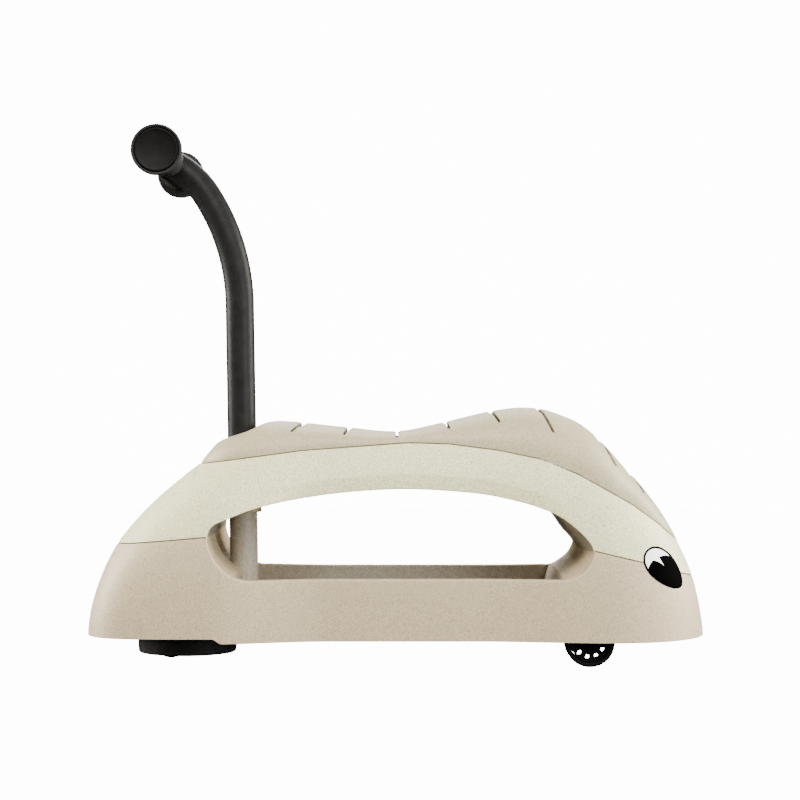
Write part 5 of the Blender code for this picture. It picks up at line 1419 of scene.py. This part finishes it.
class WALKER_OT_stage(Operator):
    """Floor, lights and the camera that looks at the walker's right side."""

    bl_idname = "walker.stage"
    bl_label = "Stage"

    def execute(self, context):
        settings = context.scene.walker_stage
        self.floor(settings)
        sky = bpy.data.worlds.new("studio_air")
        sky.use_nodes = True
        self.air(sky.node_tree, settings)
        context.scene.world = sky
        warm, white = tuple(settings.tint), (1.0, 1.0, 1.0)
        self.lamp("key_lamp", (0.0, -1.45, 1.3), 1.3, settings.key_power, warm)
        self.lamp("tail_lamp", (-1.95, 0.25, 0.75), 1.2, settings.side_power, warm)
        self.lamp("nose_lamp", (1.95, 0.25, 0.75), 1.2, settings.side_power, warm)
        self.lamp("fill_lamp", (1.5, -1.7, 0.5), 1.2, settings.fill_power, white)
        self.lamp("back_lamp", (0.0, 1.6, 1.3), 1.2, settings.back_power, white)
        camera = bpy.data.cameras.new("side_camera")
        camera.sensor_width = FILM_WIDTH
        camera.lens = FILM_WIDTH * settings.distance / (2 * settings.half_view)
        made = bpy.data.objects.new("side_camera", camera)
        made.location = (settings.aside, -settings.distance, settings.height)
        made.rotation_euler = (math.pi / 2, 0.0, 0.0)
        context.scene.collection.objects.link(made)
        context.scene.camera = made
        return {"FINISHED"}

    def air(self, tree, settings):
        """Even white light from above, and little from below, where the product stands over its own shade."""
        place = tree.nodes.new("ShaderNodeTexCoord")
        parts = tree.nodes.new("ShaderNodeSeparateXYZ")
        tree.links.new(place.outputs["Generated"], parts.inputs["Vector"])
        above = mapped(tree, parts.outputs["Z"], -0.15, 0.1, settings.sky_below, settings.sky)
        tree.links.new(above, tree.nodes["Background"].inputs["Strength"])

    def floor(self, settings):
        """A round pale floor that sweeps up on every side: flat, then a quarter round, then upright."""
        turn = np.linspace(0, math.pi / 2, 24)
        around = np.linspace(0, 2 * math.pi, 120, endpoint=False)
        reach = np.concatenate((FLOOR_FLAT + FLOOR_SWEEP * np.sin(turn), [FLOOR_FLAT + FLOOR_SWEEP]))[:, None]
        height = np.concatenate((FLOOR_SWEEP * (1 - np.cos(turn)), [FLOOR_HEIGHT]))
        rows = np.stack((reach * np.cos(around), reach * np.sin(around), spread(height, len(around))), axis=2)
        faces = [tuple(range(len(around))), *grid_faces(len(rows), len(around))[:-2]]
        pale = tuple(settings.floor)
        made, tree, shader = new_finish("pale_floor", pale, 0.8)
        tree.links.new(clouded(tree, 3.0, 2.0, shaded(pale, 0.99), pale), shader.inputs["Base Color"])
        shader.inputs["Emission Color"].default_value = (1.0, 1.0, 1.0, 1.0)
        shader.inputs["Emission Strength"].default_value = settings.floor_glow
        mesh = bpy.data.meshes.new("studio_floor")
        mesh.from_pydata(rows.reshape(-1, 3).tolist(), [], faces)
        mesh.shade_smooth()
        mesh.materials.append(made)
        sweep = bpy.data.objects.new("studio_floor", mesh)
        sweep.visible_diffuse = False
        sweep.visible_glossy = False
        bpy.context.scene.collection.objects.link(sweep)

    def lamp(self, name, place, size, power, tint):
        """A square lamp that looks at the aim."""
        data = bpy.data.lights.new(name, "AREA")
        data.shape = "SQUARE"
        data.size = size
        data.energy = power
        data.color = tint
        made = bpy.data.objects.new(name, data)
        made.location = place
        way = np.array(AIM) - np.array(place)
        flat = math.hypot(way[0], way[1])
        made.rotation_euler = (math.atan2(flat, -way[2]), 0.0, math.atan2(-way[0], way[1]))
        bpy.context.scene.collection.objects.link(made)


PIECES = (
    WALKER_OT_base, WALKER_OT_arch, WALKER_OT_seat, WALKER_OT_eyes, WALKER_OT_socket, WALKER_OT_handle, WALKER_OT_grips,
    WALKER_OT_wheels, WALKER_OT_caster, WALKER_OT_small_parts, WALKER_OT_stage,
)
SETTINGS = {
    "walker_shells": WalkerShells, "walker_handle": WalkerHandle, "walker_wheels": WalkerWheels,
    "walker_stage": WalkerStage,
}


class WALKER_PT_panel(Panel):
    """Sizes, colours and the makers of each piece."""

    bl_idname = "WALKER_PT_panel"
    bl_label = "Ride-on walker"
    bl_space_type = "VIEW_3D"
    bl_region_type = "UI"
    bl_category = "Walker"

    def draw(self, context):
        for key, group in SETTINGS.items():
            box = self.layout.box()
            for name in group.__annotations__:
                box.prop(getattr(context.scene, key), name)
        for piece in PIECES:
            self.layout.operator(piece.bl_idname)


def register():
    for kind in (*SETTINGS.values(), *PIECES, WALKER_PT_panel):
        bpy.utils.register_class(kind)
    for key, group in SETTINGS.items():
        setattr(bpy.types.Scene, key, PointerProperty(type=group))


def unregister():
    for key in SETTINGS:
        delattr(bpy.types.Scene, key)
    for kind in (WALKER_PT_panel, *reversed(PIECES), *reversed(tuple(SETTINGS.values()))):
        bpy.utils.unregister_class(kind)


def main():
    register()
    bpy.ops.walker.base_shell()
    bpy.ops.walker.arch_shell()
    bpy.ops.walker.seat_shell()
    bpy.ops.walker.eyes()
    bpy.ops.walker.handle_socket()
    bpy.ops.walker.handle_tube()
    bpy.ops.walker.grips()
    bpy.ops.walker.front_wheels()
    bpy.ops.walker.caster()
    bpy.ops.walker.small_parts()
    bpy.ops.walker.stage()


if __name__ == "__main__":
    main()
